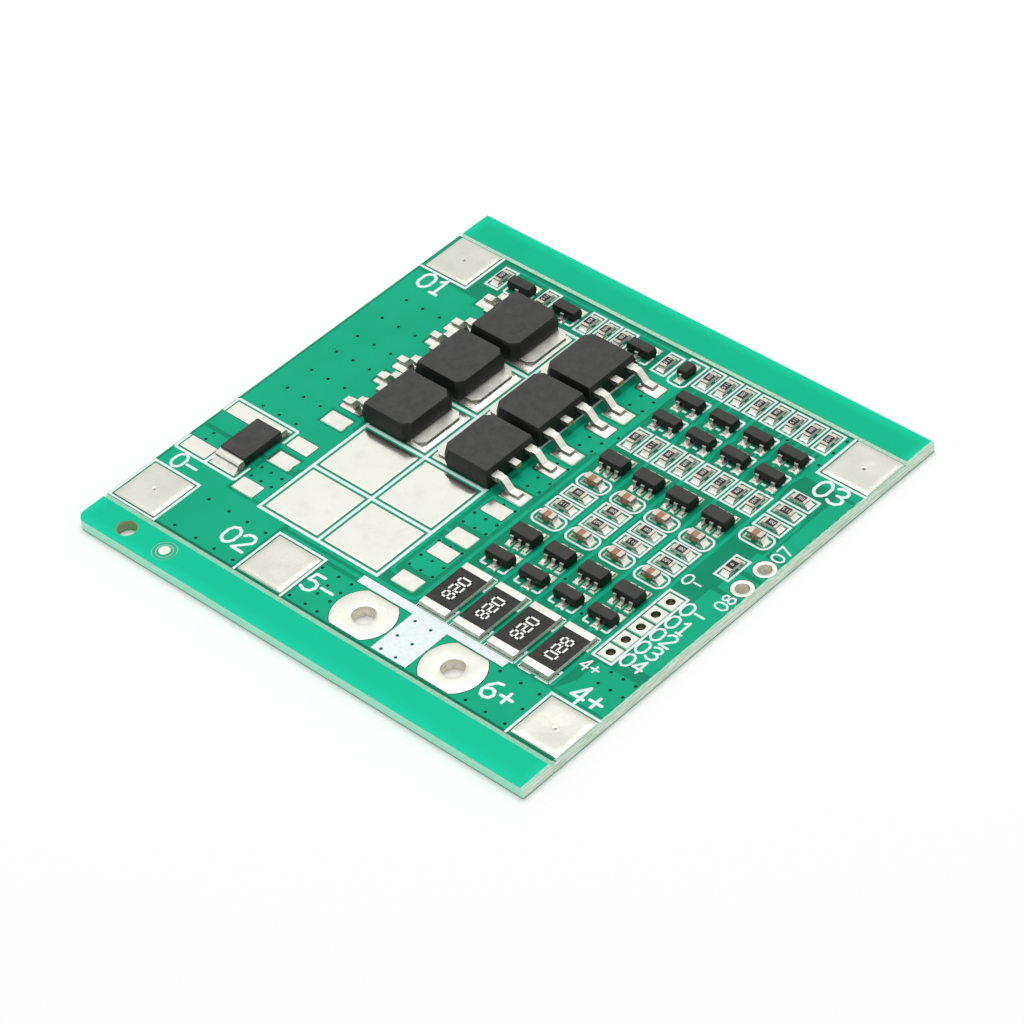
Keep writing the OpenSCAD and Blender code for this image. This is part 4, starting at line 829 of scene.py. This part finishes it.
def sense_and_diode_solder():
    """Fillets at the current-sense resistor and the diode."""
    shape = Shape()
    for k, at in enumerate(SENSE_LANDS):
        mound(shape, at, 90 if k else -90, SENSE_LAND, SENSE_FOOT, RISES["sense"], seed=6000 + k,
              cells=(14, 24))
    for k, at in enumerate(DIODE_LANDS):
        mound(shape, at, 90 if k else -90, DIODE_LAND, DIODE_FOOT, RISES["diode"], seed=6100 + k)
    shape.piece("sense_diode_solder", [SOLDER])


def big_resistor_solder():
    """Fillets at both ends of the balance resistors."""
    shape = Shape()
    foot = (BIG_FOOT_X, BIG_L / 2 - BIG_LAND_OUT, -BIG_W / 2, BIG_W / 2)
    for k, (x, y, turn) in enumerate(BIG_RESISTORS):
        for side in (0, 180):
            at = turned((x, y), turn + side)(BIG_LAND_OUT, 0)
            mound(shape, at, turn + side, BIG_LAND, foot, RISES["balance"],
                  seed=5000 + 3 * k + side, cells=(14, 24))
    shape.piece("balance_resistor_solder", [SOLDER])


# Tin coats

def pad_coats():
    """Wiped tin on the battery pads, dished towards the dimple that the probe left."""
    half = PAD_SIDE / 2 - COAT_MARGIN
    count = 52
    grid = steps(-half, half, count)
    thick, wavy = 0.10, 0.012
    dish_deep, dish_wide = 0.03, 0.95
    lip_high, lip_at, lip_wide = 0.012, 0.3, 0.12
    pit_deep, pit_wide = 0.10, 0.13
    for name, (dimple, depth) in PADS.items():
        at = middle(name)
        shape = Shape()
        rng = random.Random(name)
        waves = [(rng.uniform(0.5, 1.6), rng.uniform(0.5, 1.6), rng.uniform(0, 6.28))
                 for _ in range(4)]

        def height(x, y):
            rim = (1 - abs(x / half) ** 14) * (1 - abs(y / half) ** 14)
            wave = sum(math.sin(a * x + b * y + c) for a, b, c in waves) / 4
            r = math.hypot(x - dimple[0], y - dimple[1])
            # The dish has five faint points
            star = 1 + 0.08 * math.cos(5 * math.atan2(y - dimple[1], x - dimple[0]) + 1.0)
            dish = dish_deep * depth * math.exp(-(r / (dish_wide * star)) ** 1.3)
            lip = lip_high * depth * math.exp(-((r - lip_at) / lip_wide) ** 2)
            pit = pit_deep * depth * math.exp(-(r / pit_wide) ** 2)
            tin = max(0.0, thick + wavy * wave - dish + lip - pit)
            return Z_LAND + TIN_LIFT + rim * tin

        sheet_solid(shape, turned(at, 0), grid, grid, height, Z_LAND - TIN_SINK)
        if depth:
            # Painted shade: the faces at the bottom of the dimple take a dark colour
            dimple_shade_at = (at[0] + dimple[0], at[1] + dimple[1])
            for k, face in enumerate(shape.faces[:count * count]):
                centre = [sum(shape.points[i][axis] for i in face) / 4 for axis in (0, 1)]
                if math.dist(centre, dimple_shade_at) < 0.1 + 0.05 * depth:
                    shape.slots[k] = 1
        shape.piece(name + "_tin", [PAD, DIMPLE_SHADE])


def output_coats():
    """Domed tin on the two round output lands and the plated wall of their holes."""
    def outline(a):
        flat = OUTPUT_FLAT / max(1e-6, abs(math.sin(a)))
        return min(OUTPUT_R, flat) - COAT_MARGIN

    dome = ((0.0, -0.05), (0.015, 0.01), (0.05, 0.03), (0.2, 0.045), (0.5, 0.05), (0.8, 0.04),
            (0.94, 0.022), (1.0, 0.003))
    profile = [(share, Z_LAND + up) for share, up in dome]
    shape = Shape()
    for at, radius in holes("output"):
        ring_solid(shape, at, radius - PLATING, outline, profile)
    shape.piece("output_tin", [TIN, BARREL])


def hole_coats():
    """Plated walls and lips of the header and sensor holes, the header walls dark with painted
    shade.
    """
    lip = ((0.0, -0.03), (0.2, 0.008), (0.7, 0.014), (1.0, 0.002))
    profile = [(share, Z_LAND + up) for share, up in lip]
    _, header_r = holes("header")[0]
    coats = (("header", header_r + HEADER_LIP, HEADER_WALL_SHADE),
             ("sensor", SENSOR_R - COAT_MARGIN, BARREL))
    for kind, coat_r, wall in coats:
        shape = Shape()
        for at, radius in holes(kind):
            ring_solid(shape, at, radius - PLATING, lambda a: coat_r, profile)
        shape.piece(kind + "_tin", [TIN, wall])


def drain_coats():
    """Smooth tin on the four bare drain lands."""
    halves = (DRAIN_L / 2 - DRAIN_MARGIN, DRAIN_W / 2 - DRAIN_MARGIN)
    lift, thick, rim_wide = 0.003, 0.03, 0.35

    def height(x, y):
        shares = [min(1.0, (half - abs(v)) / rim_wide) for half, v in zip(halves, (x, y))]
        rim = shares[0] * shares[1]
        return Z_LAND + lift + thick * rim * (2 - rim)

    def lines(half):
        near_rim = [v for inset in (0.06, 0.16, 0.26) for v in (-half + inset, half - inset)]
        return sorted(set(steps(-half, half, 16) + near_rim))

    for c, x in enumerate(DRAIN_X):
        for r, y in enumerate(DRAIN_YS[:BARE_DRAIN_ROWS]):
            shape = Shape()
            sheet_solid(shape, turned((x, y), 0), lines(halves[0]), lines(halves[1]), height,
                        Z_LAND - TIN_SINK)
            shape.piece(f"drain_tin_{c}_{r}", [LAND])


# Vias

def via_rings():
    """Filled vias: a low rim of mask or ink round a dark hollow."""
    shape = Shape()
    count = 16
    base = len(VIA_RIM) * count
    following = [(k, (k + 1) % count) for k in range(count)]
    faces = [
        [i * count + k, i * count + m, (i + 1) * count + m, (i + 1) * count + k]
        for i in range(len(VIA_RIM) - 1) for k, m in following
    ]
    faces += [[base + k, base + m, m, k] for k, m in following]
    faces.append([base + count - 1 - k for k in range(count)])
    hollow = [base - count + k for k in range(count)]
    kinds = [(at, Z_MASK, 0) for at in VIAS] + [(at, Z_LAND, 2) for at in PRINTED_VIAS]
    for at, level, slot in kinds:
        points = []
        for radius, up in VIA_RIM:
            points += ring_points(at, lambda a, r=radius: r, level + up, count)
        points += [(px, py, level - TIN_SINK) for px, py, _ in points[:count]]
        start = shape.add(points, faces, slot)
        shape.add_faces(start, [hollow], slot + 1)
    shape.piece("vias", [MASK, VIA_HOLLOW, INK, PRINTED_HOLLOW])


# Markings

SEGMENTS = {"0": "abcdef", "1": "bc", "2": "abged", "3": "abgcd", "4": "fgbc", "5": "afgcd",
            "8": "abcdefg"}


def bar(shape, place, x0, y0, x1, y1, low, high):
    """A flat block between two corners and two levels."""
    corners = [place(x0, y0), place(x1, y0), place(x1, y1), place(x0, y1)]
    points = [(*c, low) for c in corners] + [(*c, high) for c in corners]
    faces = [[4, 5, 6, 7], [3, 2, 1, 0], [0, 1, 5, 4], [1, 2, 6, 5], [2, 3, 7, 6], [3, 0, 4, 7]]
    shape.add(points, faces)


def stroke_digit(shape, place, digit, size, low, high):
    """A seven-segment digit drawn with single strokes."""
    width, tall, line = size
    mid = tall / 2
    strokes = {
        "a": (0, tall - line, width, tall),
        "b": (width - line, mid, width, tall),
        "c": (width - line, 0, width, mid),
        "d": (0, 0, width, line),
        "e": (0, 0, line, mid),
        "f": (0, mid, line, tall),
        "g": (0, mid - line / 2, width, mid + line / 2),
    }
    for segment in SEGMENTS[digit]:
        bar(shape, place, *strokes[segment], low, high)


def value_marks():
    """Plain value digits on the balance resistors and the small resistors."""
    shape = Shape()
    top = top_of("balance_resistor_coats")
    for k, (x, y, _) in enumerate(BIG_RESISTORS):
        place = turned((x, y + BIG_SHIFT), 180 if k == TURNED_BIG_RESISTOR else 0)
        for i, digit in enumerate(BIG_VALUE):
            start = BIG_PITCH * (i - 1) - BIG_MIDDLE[0]
            stroke_digit(shape, lambda u, v, p=place, s=start: p(BIG_MIDDLE[1] - v, s + u),
                         digit, BIG_DIGIT, top - INK_SINK, top + BIG_INK)
    top = top_of("chip_resistor_coats")
    for k, (x, y, turn) in enumerate(RESISTORS):
        place = turned((x, y), turn)
        value = "0" if (x, y, turn) == LINK else SMALL_VALUES[k % len(SMALL_VALUES)]
        first = -SMALL_PITCH * len(value) / 2 + SMALL_SHIFT
        for i, digit in enumerate(value):
            start = first + i * SMALL_PITCH
            stroke_digit(shape, lambda u, v, p=place, s=start: p(s + u, v - SMALL_MIDDLE),
                         digit, SMALL_DIGIT, top - INK_SINK, top + SMALL_INK)
    shape.piece("value_marks", [MARKING], rounded=False)


def stub_ends():
    """Bare copper where the middle lead of each transistor was cut."""
    shape = Shape()
    low, high = (Z_LAND + LEAD_RISE + s * (LEAD_T / 2 - CUT_MARGIN) for s in (-1, 1))
    for x, y, side in TRANSISTORS:
        end = x + side * (BODY_L / 2 + STUB_L)
        x0, x1 = sorted((end - side * CUT_IN, end + side * CUT_OUT))
        bar(shape, turned((0.0, 0.0), 0), x0, y - STUB_W / 2, x1, y + STUB_W / 2, low, high)
    shape.piece("stub_ends", [COPPER_CUT], rounded=False)


chip_solder()
lead_solder()
transistor_solder()
sense_and_diode_solder()
big_resistor_solder()
pad_coats()
output_coats()
hole_coats()
drain_coats()
via_rings()
value_marks()
stub_ends()


# Floor, light and camera

def camera_ray_mix(tree, seen, lit):
    """One value for what the camera and mirrors see, another for what lights the scene."""
    path = tree.nodes.new("ShaderNodeLightPath")
    total = path.outputs["Is Camera Ray"]
    for ray in ("Is Glossy Ray", "Is Transmission Ray"):
        either = tree.nodes.new("ShaderNodeMath")
        either.operation = "MAXIMUM"
        tree.links.new(total, either.inputs[0])
        tree.links.new(path.outputs[ray], either.inputs[1])
        total = either.outputs[0]
    value = tree.nodes.new("ShaderNodeMapRange")
    tree.links.new(total, value.inputs["Value"])
    value.inputs["To Min"].default_value = lit
    value.inputs["To Max"].default_value = seen
    return value.outputs[0]


def build_floor():
    """A plain pale floor just under the board."""
    mesh = bpy.data.meshes.new("studio_floor")
    corners = [(-1, -1), (1, -1), (1, 1), (-1, 1)]
    points = [(FLOOR_HALF * x, FLOOR_HALF * y, FLOOR_Z) for x, y in corners]
    mesh.from_pydata(points, [], [(0, 1, 2, 3)])
    floor = bpy.data.objects.new("studio_floor", mesh)
    bpy.context.scene.collection.objects.link(floor)
    material = bpy.data.materials.new("studio_floor")
    material.use_nodes = True
    tree = material.node_tree
    bsdf = tree.nodes["Principled BSDF"]
    bsdf.inputs["Base Color"].default_value = (0.9, 0.9, 0.9, 1)
    bsdf.inputs["Roughness"].default_value = 0.9
    bsdf.inputs["Specular IOR Level"].default_value = 0.0
    bsdf.inputs["Emission Color"].default_value = (1, 1, 1, 1)
    tree.links.new(camera_ray_mix(tree, 0.08, 0.0), bsdf.inputs["Emission Strength"])
    mesh.materials.append(material)


def build_world():
    """White behind the board, and an even light from all round."""
    world = bpy.data.worlds.new("studio")
    bpy.context.scene.world = world
    world.use_nodes = True
    tree = world.node_tree
    background = tree.nodes["Background"]
    background.inputs["Color"].default_value = (1, 1, 1, 1)
    tree.links.new(camera_ray_mix(tree, 1.0, WORLD_LIGHT), background.inputs["Strength"])


def build_key_light():
    """A soft box above and behind the board, aimed at its middle."""
    data = bpy.data.lights.new("key_light", "AREA")
    data.shape = "RECTANGLE"
    data.size, data.size_y = KEY_LIGHT_SIZE
    data.energy = KEY_LIGHT_POWER
    lamp = bpy.data.objects.new("key_light", data)
    bpy.context.scene.collection.objects.link(lamp)
    lamp.location = KEY_LIGHT_AT
    lamp.rotation_euler = (-Vector(KEY_LIGHT_AT)).to_track_quat("-Z", "Y").to_euler()


def build_camera():
    data = bpy.data.cameras.new("camera")
    data.sensor_width = CAMERA_SENSOR
    data.lens = CAMERA_LENS
    data.clip_start = CAMERA_CLIP
    camera = bpy.data.objects.new("camera", data)
    bpy.context.scene.collection.objects.link(camera)
    axes = Matrix((CAMERA_RIGHT, CAMERA_UP, CAMERA_BACK)).transposed().to_4x4()
    camera.matrix_world = Matrix.Translation(Vector(CAMERA_AT) * MM) @ axes
    bpy.context.scene.camera = camera


build_floor()
build_world()
build_key_light()
build_camera()
bpy.context.scene.view_settings.view_transform = "Standard"
